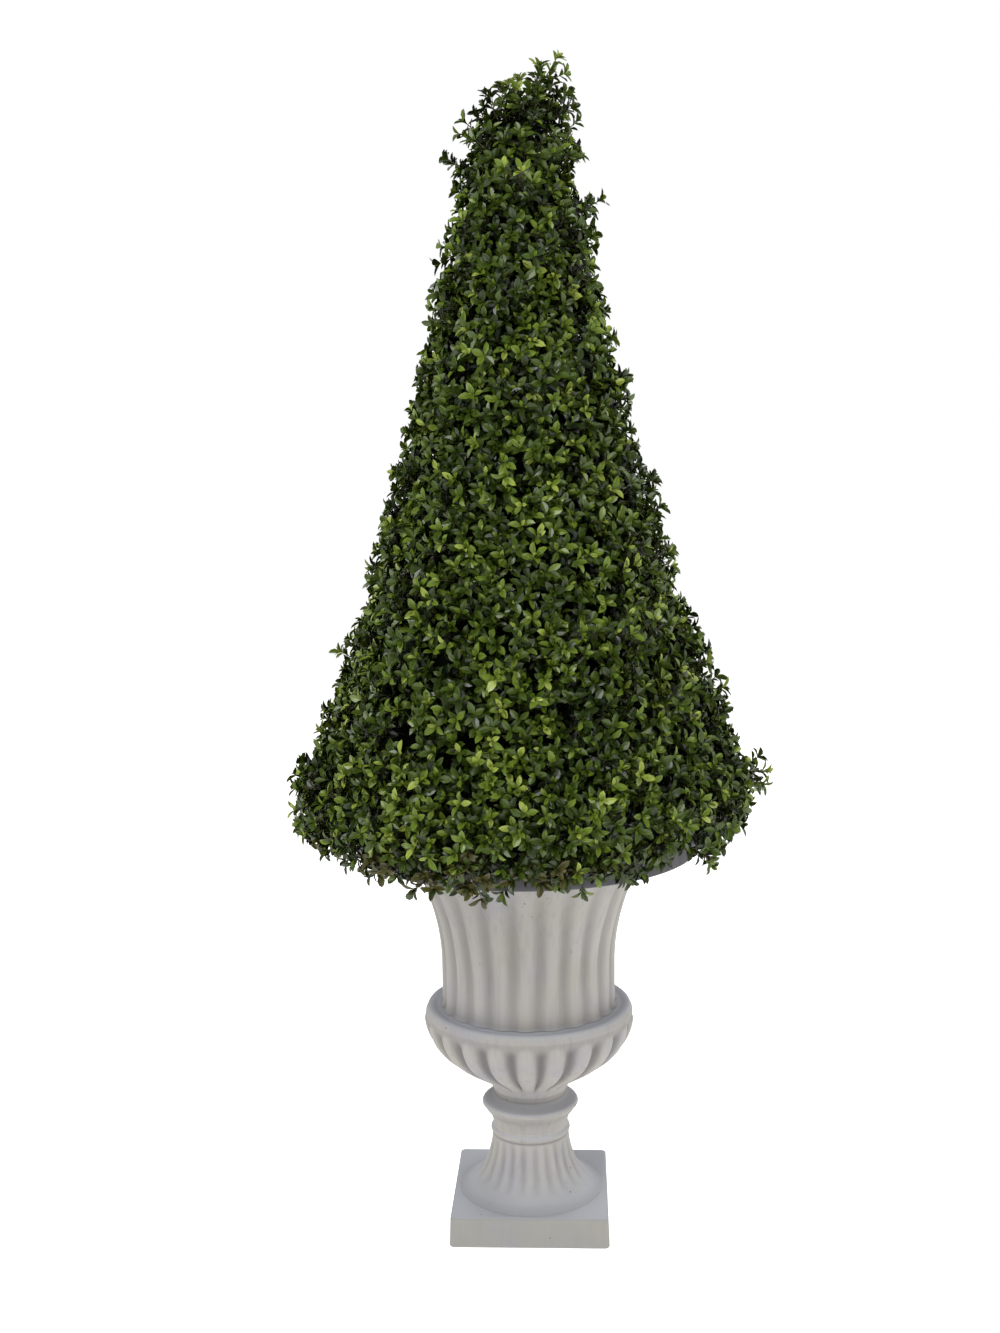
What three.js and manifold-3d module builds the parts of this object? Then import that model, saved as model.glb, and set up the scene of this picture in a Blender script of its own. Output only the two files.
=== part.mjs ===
// Artificial boxwood cone topiary in a fluted urn: a clipped leafy cone on a round base, standing on
// a stone-look urn. Millimetres, +Z up and -Y to the front; the origin is under the plinth's middle.
import * as THREE from "three";
import { mergeVertices } from "three/addons/utils/BufferGeometryUtils.js";
import Module from "manifold-3d";

const wasm = await Module();
wasm.setup();

const TOTAL_HEIGHT = 1219;
const CLEARANCE = 0.3; // between neighbours that aren't seated flat on each other
const WELD = 1e-4; // vertices closer than this are one
const PROUD = 5; // how far a cutter runs past the faces that it cuts

// Heights at which one piece is seated flat on the piece below it.
const PLINTH_TOP = 33;
const FOOT_TOP = 105;
const KNOP_TOP = 147;
const LEDGE = 240;
const URN_TOP = 411;
const BASE_TOP = 429;

// Plinth: a square slab with eased edges and a slight draft.
const PLINTH = { side: 168, topSide: 165.5, cornerRadius: 4, edge: 2.5 };

// Flutes: one rib faces the front, and the same ribs run over foot, bowl and body.
const RIBS = 22;
const STEPS_PER_RIB = 3; // a groove and the two shoulders of a rib
const GROOVE_SHARPNESS = 6; // a high power keeps the ribs broad and the grooves narrow
const CURVE_STEPS = 4;

// Urn radii.
const FOOT_DISC_R = 78;
const FOOT_WAIST_R = 41.5;
const KNOP_R = 52;
const NECK_R = 39.5;
const BOWL_R = 112.5;
const BODY_R = 92.7;
const LIP_R = 130;
const CAVITY_R = 84;
const CAVITY_FLOOR = 162;
const CAVITY_MOUTH_R = 114;

// Ballast in the urn, with a socket for the stem.
const FILL_TOP = 396;
const SOCKET_FLOOR = 290;

// Round base of the leafy cone, and the pole that carries the cone.
const BASE_R = 180;
const STEM = { footR: 9, tipR: 5, top: 1110, sides: 12 };

// Clipped outline of the leaf tips: a cone with a flared skirt, which rolls under at its foot.
const SKIRT_Z = 490;
const SKIRT_FOOT = 378;
const SKIRT_ROLL = 75;
const TIP_R = 40;
const TAPER = 160;
const FLARE = 43;
const SKIRT_R = TIP_R + TAPER + FLARE;
const DOME = 0.05; // share of the height in which the tip rounds over

// The masses of foliage lie over one another like nested cones. Each reaches from its own height
// on the axis to that of the next, and the faces between them rise outwards at this slope.
const TIER_SLOPE = 0.35;
const TIER_GAP = 0.4;
const TIER_MARGIN = 2; // how far twigs and leaves keep inside these faces and off the round base
const TIERS = [
  { name: "foliage_skirt", foot: BASE_TOP, color: 0x2f4a17 },
  { name: "foliage_lower", foot: 466, color: 0x365419 },
  { name: "foliage_middle", foot: 631, color: 0x2f4a17 },
  { name: "foliage_upper", foot: 797, color: 0x365419 },
  { name: "foliage_tip", foot: 967, color: 0x3f6120 },
];

// Dense inner growth: a core that the sprays stand out of.
const CORE_INSET = 31;
const CORE_SIDES = 22;
const CORE_RINGS = 3;
const CORE_SHOULDER = 1146;
const CORE_TOP = 1164;
const CORE_TIP_R = 12;
const LUMP = 3.5; // how far the core swells and shrinks between clumps of growth

// Sprays: a three-sided twig with opposite pairs of leaves, and on some a forked side twig.
const SPRAY_COUNT = 90;
const ROOT_DEPTH = 8; // how far a twig is sunk in the core
const TWIG = { length: 36, radius: 6.5 };
const FORK = { share: 0.5, at: 0.36, length: 36, radius: 2, away: 1.1 };
const LEAF = { length: 38, width: 24, thickness: 2, sunk: 0.7 };
const GOLDEN_ANGLE = Math.PI * (3 - Math.sqrt(5));
const SEED = 2417;

// Shoots that stand above the dome: where each one points to, and how high it reaches.
const LEADERS = [
  { x: 40, y: -8, top: TOTAL_HEIGHT },
  { x: 0, y: 12, top: 1201 },
  { x: -30, y: -8, top: 1186 },
];

const UP = new THREE.Vector3(0, 0, 1);

const FINISHES = {
  stone: { color: 0xb5b0a8, roughness: 0.85, metalness: 0 },
  ballast: { color: 0x8d8982, roughness: 0.95, metalness: 0 },
  base: { color: 0x3f3d42, roughness: 0.8, metalness: 0 },
  bark: { color: 0x5a4a33, roughness: 0.9, metalness: 0 },
  leaf: { roughness: 0.55, metalness: 0 },
};

// Turns a three.js geometry into a solid.
function solidOf(geometry) {
  const bare = geometry.index ? geometry.toNonIndexed() : geometry.clone();
  bare.deleteAttribute("normal");
  bare.deleteAttribute("uv");
  const welded = mergeVertices(bare, WELD);
  const triVerts = [];
  for (let i = 0; i < welded.index.count; i += 3) {
    const corners = [0, 1, 2].map((k) => welded.index.getX(i + k));
    if (new Set(corners).size === 3) triVerts.push(...corners);
  }
  return new wasm.Manifold(
    new wasm.Mesh({
      numProp: 3,
      vertProperties: welded.attributes.position.array,
      triVerts: new Uint32Array(triVerts),
    }),
  );
}

// Makes the named mesh of one node.
function node(name, solid, finish) {
  const { vertProperties, triVerts } = solid.getMesh();
  const indexed = new THREE.BufferGeometry();
  indexed.setAttribute("position", new THREE.BufferAttribute(vertProperties, 3));
  indexed.setIndex(new THREE.BufferAttribute(triVerts, 1));
  const geometry = indexed.toNonIndexed();
  geometry.computeVertexNormals();
  const mesh = new THREE.Mesh(geometry, new THREE.MeshStandardMaterial(finish));
  mesh.name = name;
  return mesh;
}

// Turns a profile, given as a path of radius and height from the bottom up, round the Z axis.
function turned(profile, sides) {
  const halfPitch = Math.PI / RIBS;
  const geometry = new THREE.LatheGeometry(profile.getPoints(CURVE_STEPS), sides, halfPitch);
  return geometry.rotateX(Math.PI / 2);
}

// Cuts flutes in a turned geometry: depthAt gives the grooves' depth at a height.
function fluted(geometry, depthAt) {
  const position = geometry.attributes.position;
  for (let i = 0; i < position.count; i += 1) {
    const x = position.getX(i);
    const y = position.getY(i);
    const radius = Math.hypot(x, y);
    if (radius < 1) continue;
    const phase = (Math.atan2(x, -y) * RIBS) / 2;
    const groove = Math.abs(Math.sin(phase)) ** GROOVE_SHARPNESS;
    const scale = 1 - (depthAt(position.getZ(i)) * groove) / radius;
    position.setXY(i, x * scale, y * scale);
  }
  return geometry;
}

// A depth that rises from nothing at one height, is full in the middle and fades at another.
function fadedDepth(depth, low, high) {
  return (z) => {
    const along = THREE.MathUtils.clamp((z - low) / (high - low), 0, 1);
    return depth * Math.sqrt(Math.sin(Math.PI * along));
  };
}

function plinth() {
  const half = PLINTH.side / 2 - PLINTH.edge;
  const corner = PLINTH.cornerRadius;
  const outline = new THREE.Shape();
  [0, 1, 2, 3].forEach((quarter) => {
    const turn = (quarter * Math.PI) / 2;
    const centre = new THREE.Vector2(half - corner, half - corner);
    centre.rotateAround(new THREE.Vector2(), turn);
    outline.absarc(centre.x, centre.y, corner, turn, turn + Math.PI / 2);
  });
  outline.closePath();
  const geometry = new THREE.ExtrudeGeometry(outline, {
    depth: PLINTH_TOP - 2 * PLINTH.edge,
    bevelSize: PLINTH.edge,
    bevelThickness: PLINTH.edge,
    bevelSegments: 2,
    curveSegments: 2,
  });
  geometry.translate(0, 0, PLINTH.edge);
  const draft = 1 - PLINTH.topSide / PLINTH.side;
  const position = geometry.attributes.position;
  for (let i = 0; i < position.count; i += 1) {
    const scale = 1 - (draft * position.getZ(i)) / PLINTH_TOP;
    position.setXY(i, position.getX(i) * scale, position.getY(i) * scale);
  }
  return solidOf(geometry);
}

function foot() {
  const profile = new THREE.Path()
    .moveTo(0, PLINTH_TOP)
    .lineTo(FOOT_DISC_R, PLINTH_TOP)
    .lineTo(FOOT_DISC_R, PLINTH_TOP + 1.5)
    .lineTo(FOOT_DISC_R - 3, PLINTH_TOP + 4)
    .bezierCurveTo(54, 44, FOOT_WAIST_R + 1.5, 66, FOOT_WAIST_R, 91)
    .lineTo(FOOT_WAIST_R - 0.8, 94)
    .lineTo(FOOT_WAIST_R + 0.5, 97)
    .lineTo(FOOT_WAIST_R - 1.3, FOOT_TOP)
    .lineTo(0, FOOT_TOP);
  return solidOf(fluted(turned(profile, RIBS * STEPS_PER_RIB), fadedDepth(1.8, 40, 92)));
}

function knop() {
  const profile = new THREE.Path()
    .moveTo(0, FOOT_TOP)
    .lineTo(FOOT_WAIST_R - 1.3, FOOT_TOP)
    .bezierCurveTo(FOOT_WAIST_R - 0.5, 118, KNOP_R - 4, 114, KNOP_R, 126)
    .lineTo(KNOP_R - 3, 132)
    .lineTo(NECK_R, 137)
    .lineTo(NECK_R + 2, KNOP_TOP)
    .lineTo(0, KNOP_TOP);
  return solidOf(turned(profile, 32));
}

// The inside of the urn between two heights, less a clearance at its wall.
function cavity(low, high, inset) {
  const profile = new THREE.Path()
    .moveTo(0, CAVITY_FLOOR)
    .lineTo(42 - inset, CAVITY_FLOOR)
    .lineTo(CAVITY_R - 14 - inset, 180)
    .lineTo(CAVITY_R - inset, 200)
    .lineTo(CAVITY_R - inset, 320)
    .lineTo(CAVITY_MOUTH_R - inset, URN_TOP)
    .lineTo(CAVITY_MOUTH_R - inset, URN_TOP + PROUD)
    .lineTo(0, URN_TOP + PROUD);
  const span = new THREE.BoxGeometry(2 * LIP_R, 2 * LIP_R, high - low);
  span.translate(0, 0, (high + low) / 2);
  return solidOf(turned(profile, 24)).intersect(solidOf(span));
}

function bowl() {
  const profile = new THREE.Path()
    .moveTo(0, KNOP_TOP)
    .lineTo(NECK_R + 2, KNOP_TOP)
    .lineTo(NECK_R + 3.5, 151)
    .bezierCurveTo(62, 162, BOWL_R - 1.5, 192, BOWL_R, 225)
    .lineTo(BOWL_R - 2.5, 235)
    .lineTo(BOWL_R - 5.5, LEDGE + 1)
    .lineTo(BOWL_R - 9.5, LEDGE - 2.5)
    .lineTo(BODY_R + 2, LEDGE)
    .lineTo(0, LEDGE);
  const ribbed = fluted(turned(profile, RIBS * STEPS_PER_RIB), fadedDepth(5, 149, 204));
  return solidOf(ribbed).subtract(cavity(CAVITY_FLOOR, LEDGE + PROUD, 0));
}

function body() {
  const profile = new THREE.Path()
    .moveTo(0, LEDGE)
    .lineTo(BODY_R, LEDGE)
    .lineTo(BODY_R, 285)
    .bezierCurveTo(BODY_R, 335, 108, 368, LIP_R - 9, 400)
    .lineTo(LIP_R, 402)
    .lineTo(LIP_R, URN_TOP)
    .lineTo(0, URN_TOP);
  const flutes = fadedDepth(3.6, LEDGE - 60, 402);
  const ribbed = fluted(turned(profile, RIBS * STEPS_PER_RIB), flutes);
  return solidOf(ribbed).subtract(cavity(LEDGE - PROUD, URN_TOP + PROUD, 0));
}

function rod(low, high, extra) {
  const radiusAt = (z) =>
    THREE.MathUtils.mapLinear(z, SOCKET_FLOOR, STEM.top, STEM.footR, STEM.tipR) + extra;
  const profile = new THREE.Path()
    .moveTo(0, low)
    .lineTo(radiusAt(low), low)
    .lineTo(radiusAt(high), high)
    .lineTo(0, high);
  return solidOf(turned(profile, STEM.sides));
}

function fill() {
  const socket = rod(SOCKET_FLOOR, FILL_TOP + PROUD, CLEARANCE);
  return cavity(CAVITY_FLOOR, FILL_TOP, CLEARANCE).subtract(socket);
}

function coneBase() {
  const profile = new THREE.Path()
    .moveTo(0, URN_TOP)
    .lineTo(BASE_R - 2, URN_TOP)
    .lineTo(BASE_R, URN_TOP + 2)
    .lineTo(BASE_R, BASE_TOP - 4)
    .lineTo(BASE_R - 4, BASE_TOP)
    .lineTo(0, BASE_TOP);
  return solidOf(turned(profile, 48)).subtract(rod(URN_TOP - PROUD, BASE_TOP + PROUD, CLEARANCE));
}

// Mean reach of the leaf tips from the axis at a height.
function crownRadius(z) {
  if (z < SKIRT_Z) {
    return SKIRT_R - SKIRT_ROLL * ((SKIRT_Z - z) / (SKIRT_Z - SKIRT_FOOT)) ** 3;
  }
  const down = (TOTAL_HEIGHT - z) / (TOTAL_HEIGHT - SKIRT_Z);
  const cone = TIP_R + TAPER * down + FLARE * down ** 4;
  return cone * Math.min(1, Math.sqrt(down / DOME));
}

// How steeply the sprays rise at a height, in radians: down at the skirt's foot, up at the tip.
function riseAt(z) {
  if (z < SKIRT_Z) return THREE.MathUtils.mapLinear(z, SKIRT_FOOT, SKIRT_Z, -1.0, 0.2);
  const down = (TOTAL_HEIGHT - z) / (TOTAL_HEIGHT - SKIRT_Z);
  return 0.3 + 0.9 * Math.exp(-down / 0.09);
}

// Whether a point lies in the space of a tier, clear of its neighbours and of the round base.
function insideTier(point, tierIndex) {
  if (point.z > TOTAL_HEIGHT) return false;
  const radius = Math.hypot(point.x, point.y);
  const level = point.z - TIER_SLOPE * radius;
  if (tierIndex > 0 && level < TIERS[tierIndex].foot + TIER_MARGIN) return false;
  const next = TIERS[tierIndex + 1];
  if (next && level > next.foot - TIER_MARGIN) return false;
  const besideBase = point.z < BASE_TOP + CLEARANCE;
  return !(besideBase && radius < BASE_R + TIER_MARGIN);
}

function coreRadius(z) {
  return crownRadius(z) - CORE_INSET;
}

// The height at which a face between two tiers, rising outwards, meets the side of the core.
function edgeHeight(foot) {
  const settle = 30;
  let z = foot;
  for (let i = 0; i < settle; i += 1) z = foot + TIER_SLOPE * coreRadius(z);
  return z;
}

// The dense core of a tier, bored for the stem, between the faces that it shares with its neighbours.
function core(tierIndex) {
  const next = TIERS[tierIndex + 1];
  const onBase = tierIndex === 0;
  const low = TIERS[tierIndex].foot + (onBase ? 0 : TIER_GAP / 2);
  const high = next ? next.foot - TIER_GAP / 2 : CORE_TOP;
  const lowEdge = onBase ? low : edgeHeight(low);
  const highEdge = next ? edgeHeight(high) : CORE_SHOULDER;
  const profile = new THREE.Path().moveTo(0, low);
  for (let ring = 0; ring <= CORE_RINGS; ring += 1) {
    const z = THREE.MathUtils.lerp(lowEdge, highEdge, ring / CORE_RINGS);
    profile.lineTo(coreRadius(z), z);
  }
  if (!next) profile.lineTo(CORE_TIP_R, CORE_TOP);
  profile.lineTo(0, high);
  const lumpy = swollen(turned(profile, CORE_SIDES));
  return solidOf(lumpy).subtract(rod(BASE_TOP - PROUD, STEM.top, CLEARANCE));
}

// Swells and shrinks a core in long waves, sliding its rims along the faces between the tiers.
function swollen(geometry) {
  const position = geometry.attributes.position;
  for (let i = 0; i < position.count; i += 1) {
    const x = position.getX(i);
    const y = position.getY(i);
    const z = position.getZ(i);
    const radius = Math.hypot(x, y);
    if (radius < CORE_TIP_R || z <= BASE_TOP) continue;
    const azimuth = Math.atan2(y, x);
    const swell = LUMP * Math.sin(5 * azimuth + z / 37) * Math.cos(3 * azimuth - z / 23);
    position.setXYZ(i, x * (1 + swell / radius), y * (1 + swell / radius), z + TIER_SLOPE * swell);
  }
  return geometry;
}

// A repeatable source of numbers from 0 to 1.
function seededRandom(seed) {
  let state = seed;
  return () => {
    state = (state * 1664525 + 1013904223) % 4294967296;
    return state / 4294967296;
  };
}

const random = seededRandom(SEED);

function spread(amount) {
  return (random() * 2 - 1) * amount;
}

// A direction turned away from an axis by one angle and about it by another.
function turnedFrom(axis, away, about) {
  const helper = Math.abs(axis.z) < 0.9 ? UP : new THREE.Vector3(1, 0, 0);
  const side = new THREE.Vector3().crossVectors(helper, axis).normalize();
  side.applyAxisAngle(axis, about);
  return axis.clone().multiplyScalar(Math.cos(away)).addScaledVector(side, Math.sin(away));
}

// A three-sided twig that tapers to a bud, as a list of corners and faces.
function twigPiece(from, { along, length, radius }) {
  const corners = [0, 1, 2].map((k) => {
    const side = turnedFrom(along, Math.PI / 2, (k * 2 * Math.PI) / 3);
    return from.clone().addScaledVector(side, radius);
  });
  corners.push(from.clone().addScaledVector(along, length));
  return { corners, faces: [0, 2, 1, 0, 1, 3, 1, 2, 3, 2, 0, 3] };
}

// A leaf of eight faces: a flat pointed outline with a ridge above and a keel below.
function leafPiece(root, direction, facing) {
  const across = new THREE.Vector3().crossVectors(direction, facing).normalize();
  const normal = new THREE.Vector3().crossVectors(across, direction).normalize();
  const base = root.clone().addScaledVector(direction, -LEAF.sunk);
  const at = (along, aside, above) =>
    base
      .clone()
      .addScaledVector(direction, along * (LEAF.length + LEAF.sunk))
      .addScaledVector(across, (aside * LEAF.width) / 2)
      .addScaledVector(normal, (above * LEAF.thickness) / 2);
  const corners = [at(0, 0, 0), at(1, 0, 0), at(0.55, 1, 0), at(0.55, -1, 0), at(0.5, 0, 1), at(0.5, 0, -1)];
  const faces = [0, 2, 4, 2, 1, 4, 1, 3, 4, 3, 0, 4, 2, 0, 5, 1, 2, 5, 3, 1, 5, 0, 3, 5];
  return { corners, faces };
}

function pieceSolid({ corners, faces }) {
  const geometry = new THREE.BufferGeometry().setFromPoints(corners);
  geometry.setIndex(faces);
  return solidOf(geometry);
}

// The twigs and leaves of one spray that fit in its tier. Leaves leave a twig through its faces.
function spraySolids(root, along, length, tierIndex) {
  const fits = (piece) => piece.corners.every((corner) => insideTier(corner, tierIndex));
  const pieces = [];
  const addShoot = (from, shape, leaves) => {
    const twig = twigPiece(from, shape);
    if (!fits(twig)) return false;
    pieces.push(twig);
    leaves.forEach(({ at, away, turn }) => {
      const foot = from.clone().addScaledVector(shape.along, shape.length * at);
      const leafDirection = turnedFrom(shape.along, away + spread(0.12), turn + spread(0.12));
      const leaf = leafPiece(foot, leafDirection, shape.along);
      if (fits(leaf)) pieces.push(leaf);
    });
    return true;
  };
  const sixth = Math.PI / 3;
  const grown = addShoot(root, { along, length, radius: TWIG.radius }, [
    { at: 0.42, away: 1.2, turn: 0.5 * sixth },
    { at: 0.42, away: 1.2, turn: 3.5 * sixth },
    { at: 0.58, away: 0.65, turn: 1.5 * sixth },
    { at: 0.58, away: 0.65, turn: 4.5 * sixth },
  ]);
  if (grown && random() < FORK.share) {
    const fork = root.clone().addScaledVector(along, length * FORK.at);
    const aside = turnedFrom(along, FORK.away, 2.5 * sixth);
    addShoot(fork, { ...FORK, along: aside }, [
      { at: 0.4, away: 0.6, turn: 0.5 * sixth },
      { at: 0.4, away: 0.6, turn: 3.5 * sixth },
    ]);
  }
  return pieces.map(pieceSolid);
}

// Heights that share the crown's surface out evenly: gives a height for a share from 0 to 1.
function evenHeights() {
  const steps = 400;
  const heights = [SKIRT_FOOT + 14];
  const areas = [0];
  const stride = (TOTAL_HEIGHT - 24 - heights[0]) / steps;
  for (let i = 1; i <= steps; i += 1) {
    const z = heights[0] + i * stride;
    const run = Math.hypot(stride, crownRadius(z) - crownRadius(z - stride));
    heights.push(z);
    areas.push(areas[i - 1] + run * crownRadius(z));
  }
  return (share) => heights[areas.findIndex((area) => area >= share * areas[steps])];
}

// The sprays of every tier: evenly spread by the golden angle over the clipped outline.
function growSprays() {
  const grown = TIERS.map(() => []);
  const heightFor = evenHeights();
  for (let i = 0; i < SPRAY_COUNT; i += 1) {
    const z = heightFor((i + 0.5) / SPRAY_COUNT);
    const azimuth = i * GOLDEN_ANGLE + spread(0.06);
    const rise = riseAt(z) + spread(0.12);
    const outward = new THREE.Vector3(Math.cos(azimuth), Math.sin(azimuth), 0);
    const direction = outward.clone().multiplyScalar(Math.cos(rise)).addScaledVector(UP, Math.sin(rise));
    const depth = CORE_INSET + ROOT_DEPTH;
    const root = outward.clone().multiplyScalar(crownRadius(z)).addScaledVector(UP, z);
    root.addScaledVector(direction, -depth);
    const tierIndex = TIERS.findIndex((tier, index) => insideTier(root, index));
    if (tierIndex < 0) continue;
    const length = TWIG.length * (0.85 + 0.3 * random());
    grown[tierIndex].push(...spraySolids(root, direction, length, tierIndex));
  }
  const tip = TIERS.length - 1;
  LEADERS.forEach((leader) => {
    const root = new THREE.Vector3(leader.x * 0.1, leader.y * 0.1, CORE_TOP - 2 * ROOT_DEPTH);
    const reach = new THREE.Vector3(leader.x, leader.y, leader.top).sub(root);
    const length = reach.length();
    grown[tip].push(...spraySolids(root, reach.normalize(), length, tip));
  });
  return grown;
}

// Joins a tier's sprays to its core, leaving out any scrap that hangs loose.
function foliage(tierIndex, sprays) {
  const joined = wasm.Manifold.union([core(tierIndex), ...sprays]);
  const bodies = joined.decompose();
  return bodies.reduce((largest, next) => (next.volume() > largest.volume() ? next : largest));
}

const sprays = growSprays();
const group = new THREE.Group();
group.name = "boxwood_cone_topiary";
group.add(
  node("urn_plinth", plinth(), FINISHES.stone),
  node("urn_foot", foot(), FINISHES.stone),
  node("urn_knop", knop(), FINISHES.stone),
  node("urn_bowl", bowl(), FINISHES.stone),
  node("urn_body", body(), FINISHES.stone),
  node("urn_fill", fill(), FINISHES.ballast),
  node("cone_base", coneBase(), FINISHES.base),
  node("stem", rod(SOCKET_FLOOR, STEM.top - CLEARANCE, 0), FINISHES.bark),
);
TIERS.forEach((tier, index) => {
  const finish = { ...FINISHES.leaf, color: tier.color };
  group.add(node(tier.name, foliage(index, sprays[index]), finish));
});

export default group;
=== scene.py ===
"""Looks of an artificial boxwood cone topiary in a fluted urn.

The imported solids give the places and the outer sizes. Lengths are written in millimetres, with +Z up and
-Y to the front, and are turned into metres where a mesh is made.
"""
import logging
import math
from abc import ABC, abstractmethod
from dataclasses import dataclass, field
from enum import Enum
from typing import Callable

import bpy
import numpy as np
from mathutils import Matrix, Vector


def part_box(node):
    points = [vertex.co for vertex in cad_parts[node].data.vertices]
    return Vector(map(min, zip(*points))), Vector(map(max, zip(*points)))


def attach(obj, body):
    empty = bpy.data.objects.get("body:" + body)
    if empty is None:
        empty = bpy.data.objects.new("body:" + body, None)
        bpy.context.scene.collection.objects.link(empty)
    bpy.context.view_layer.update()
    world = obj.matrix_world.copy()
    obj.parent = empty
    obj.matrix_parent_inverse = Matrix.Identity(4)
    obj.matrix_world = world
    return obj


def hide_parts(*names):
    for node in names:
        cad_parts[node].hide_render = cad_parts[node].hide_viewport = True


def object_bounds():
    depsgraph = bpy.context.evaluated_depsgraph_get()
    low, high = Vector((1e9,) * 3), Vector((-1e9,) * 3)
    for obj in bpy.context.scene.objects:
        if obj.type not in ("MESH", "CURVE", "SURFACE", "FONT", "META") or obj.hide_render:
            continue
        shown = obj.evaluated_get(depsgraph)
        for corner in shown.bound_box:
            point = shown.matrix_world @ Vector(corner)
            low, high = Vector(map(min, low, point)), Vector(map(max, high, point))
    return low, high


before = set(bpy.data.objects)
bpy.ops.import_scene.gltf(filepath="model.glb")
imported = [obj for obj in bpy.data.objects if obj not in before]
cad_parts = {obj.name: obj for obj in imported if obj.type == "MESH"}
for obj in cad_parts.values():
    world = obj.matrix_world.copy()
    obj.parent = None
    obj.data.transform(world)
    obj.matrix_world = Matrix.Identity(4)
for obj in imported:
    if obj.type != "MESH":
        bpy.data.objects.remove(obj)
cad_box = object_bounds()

log = logging.getLogger("topiary")

Array = np.ndarray
Colour = tuple[float, float, float, float]
Socket = bpy.types.NodeSocket
Tree = bpy.types.NodeTree

MM = 0.001
BODY = "root"
SEED = 2417
RIBS = 22
GOLDEN_ANGLE = math.pi * (3 - math.sqrt(5))
UP = np.array([0.0, 0.0, 1.0])


# ---------------------------------------------------------------- shared tools


def linear(code: str) -> Colour:
    """Turns an sRGB hex colour into a linear one.

    Args:
        code: six hex digits after a hash sign.

    Returns:
        Red, green, blue and an alpha of 1.
    """
    channels = [int(code[i : i + 2], 16) / 255 for i in (1, 3, 5)]
    red, green, blue = (c / 12.92 if c <= 0.04045 else ((c + 0.055) / 1.055) ** 2.4 for c in channels)
    return (red, green, blue, 1.0)


def per_metre(size: float) -> float:
    """Gives the texture scale that draws a pattern at a size in millimetres."""
    return 1 / (size * MM)


def add(
    tree: Tree,
    kind: str,
    inputs: dict[str | int, object] | None = None,
    links: dict[str | int, Socket] | None = None,
    **settings: object,
) -> bpy.types.Node:
    """Adds a node with its settings and links.

    Args:
        tree: the node tree that it goes in.
        kind: the node's type, such as ShaderNodeBump.
        inputs: values for its sockets, by name or number.
        links: outputs that feed its sockets, by name or number.
        **settings: the node's own properties.

    Returns:
        The new node.
    """
    made = tree.nodes.new(kind)
    for name, value in settings.items():
        setattr(made, name, value)
    for name, value in (inputs or {}).items():
        made.inputs[name].default_value = value
    for name, source in (links or {}).items():
        tree.links.new(source, made.inputs[name])
    return made


class Joined(Enum):
    """How two patterns are joined: where both of them are, or where either is."""

    BOTH = "MULTIPLY"
    EITHER = "MAXIMUM"


def joined(tree: Tree, how: Joined, *patterns: tuple[Socket, float, float]) -> Socket:
    """Stretches two patterns, each between two of its levels, and joins them.

    Args:
        tree: the node tree.
        how: whether both patterns count or either.
        *patterns: each one's output, the level that becomes 0 and the level that becomes 1.

    Returns:
        The joined pattern's output, from 0 to 1.
    """
    links = {}
    for number, (source, low, high) in enumerate(patterns):
        levels = {"From Min": low, "From Max": high}
        stretched = add(tree, "ShaderNodeMapRange", levels, {"Value": source}, clamp=True)
        links[number] = stretched.outputs["Result"]
    return add(tree, "ShaderNodeMath", links=links, operation=how.value).outputs[0]


def give_colour(tree: Tree, socket: Socket, colour: Socket | str) -> None:
    """Feeds a colour to a socket.

    Args:
        tree: the node tree.
        socket: the socket that takes it.
        colour: an output or a hex colour.
    """
    if isinstance(colour, str):
        socket.default_value = linear(colour)
    else:
        tree.links.new(colour, socket)


def layered(
    tree: Tree,
    under: Socket | str,
    over: str,
    pattern: Socket,
    low: float = 0.0,
    high: float = 1.0,
    strength: float = 1.0,
) -> Socket:
    """Lays one colour over another where a pattern says so.

    Args:
        tree: the node tree.
        under: the lower colour, an output or a hex colour.
        over: the upper colour, in hex.
        pattern: the pattern's output.
        low: the pattern's level at which the upper colour starts to show.
        high: the level from which it shows most.
        strength: how much of it shows there.

    Returns:
        The layered colour's output.
    """
    levels = {"From Min": low, "From Max": high, "To Max": strength}
    share = add(tree, "ShaderNodeMapRange", levels, {"Value": pattern}, clamp=True).outputs["Result"]
    made = add(tree, "ShaderNodeMix", {7: linear(over)}, {0: share}, data_type="RGBA")
    give_colour(tree, made.inputs[6], under)
    return made.outputs[2]


def new_material(
    name: str, ior: float, roughness: float
) -> tuple[bpy.types.Material, Tree, bpy.types.Node]:
    """Starts a material.

    Args:
        name: the material's name.
        ior: its index of refraction.
        roughness: its roughness, the same all over.

    Returns:
        The material, its node tree and its Principled shader.
    """
    material = bpy.data.materials.new(name)
    material.use_nodes = True
    shader = material.node_tree.nodes["Principled BSDF"]
    shader.inputs["IOR"].default_value = ior
    shader.inputs["Roughness"].default_value = roughness
    return material, material.node_tree, shader


@dataclass(frozen=True)
class Span:
    """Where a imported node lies, in millimetres."""

    low: float
    high: float
    radius: float

    @classmethod
    def of(cls, node: str) -> "Span":
        """Reads the span of a node from the frame."""
        lowest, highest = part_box(node)
        return cls(lowest.z / MM, highest.z / MM, max(highest.x, -lowest.x) / MM)


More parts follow.
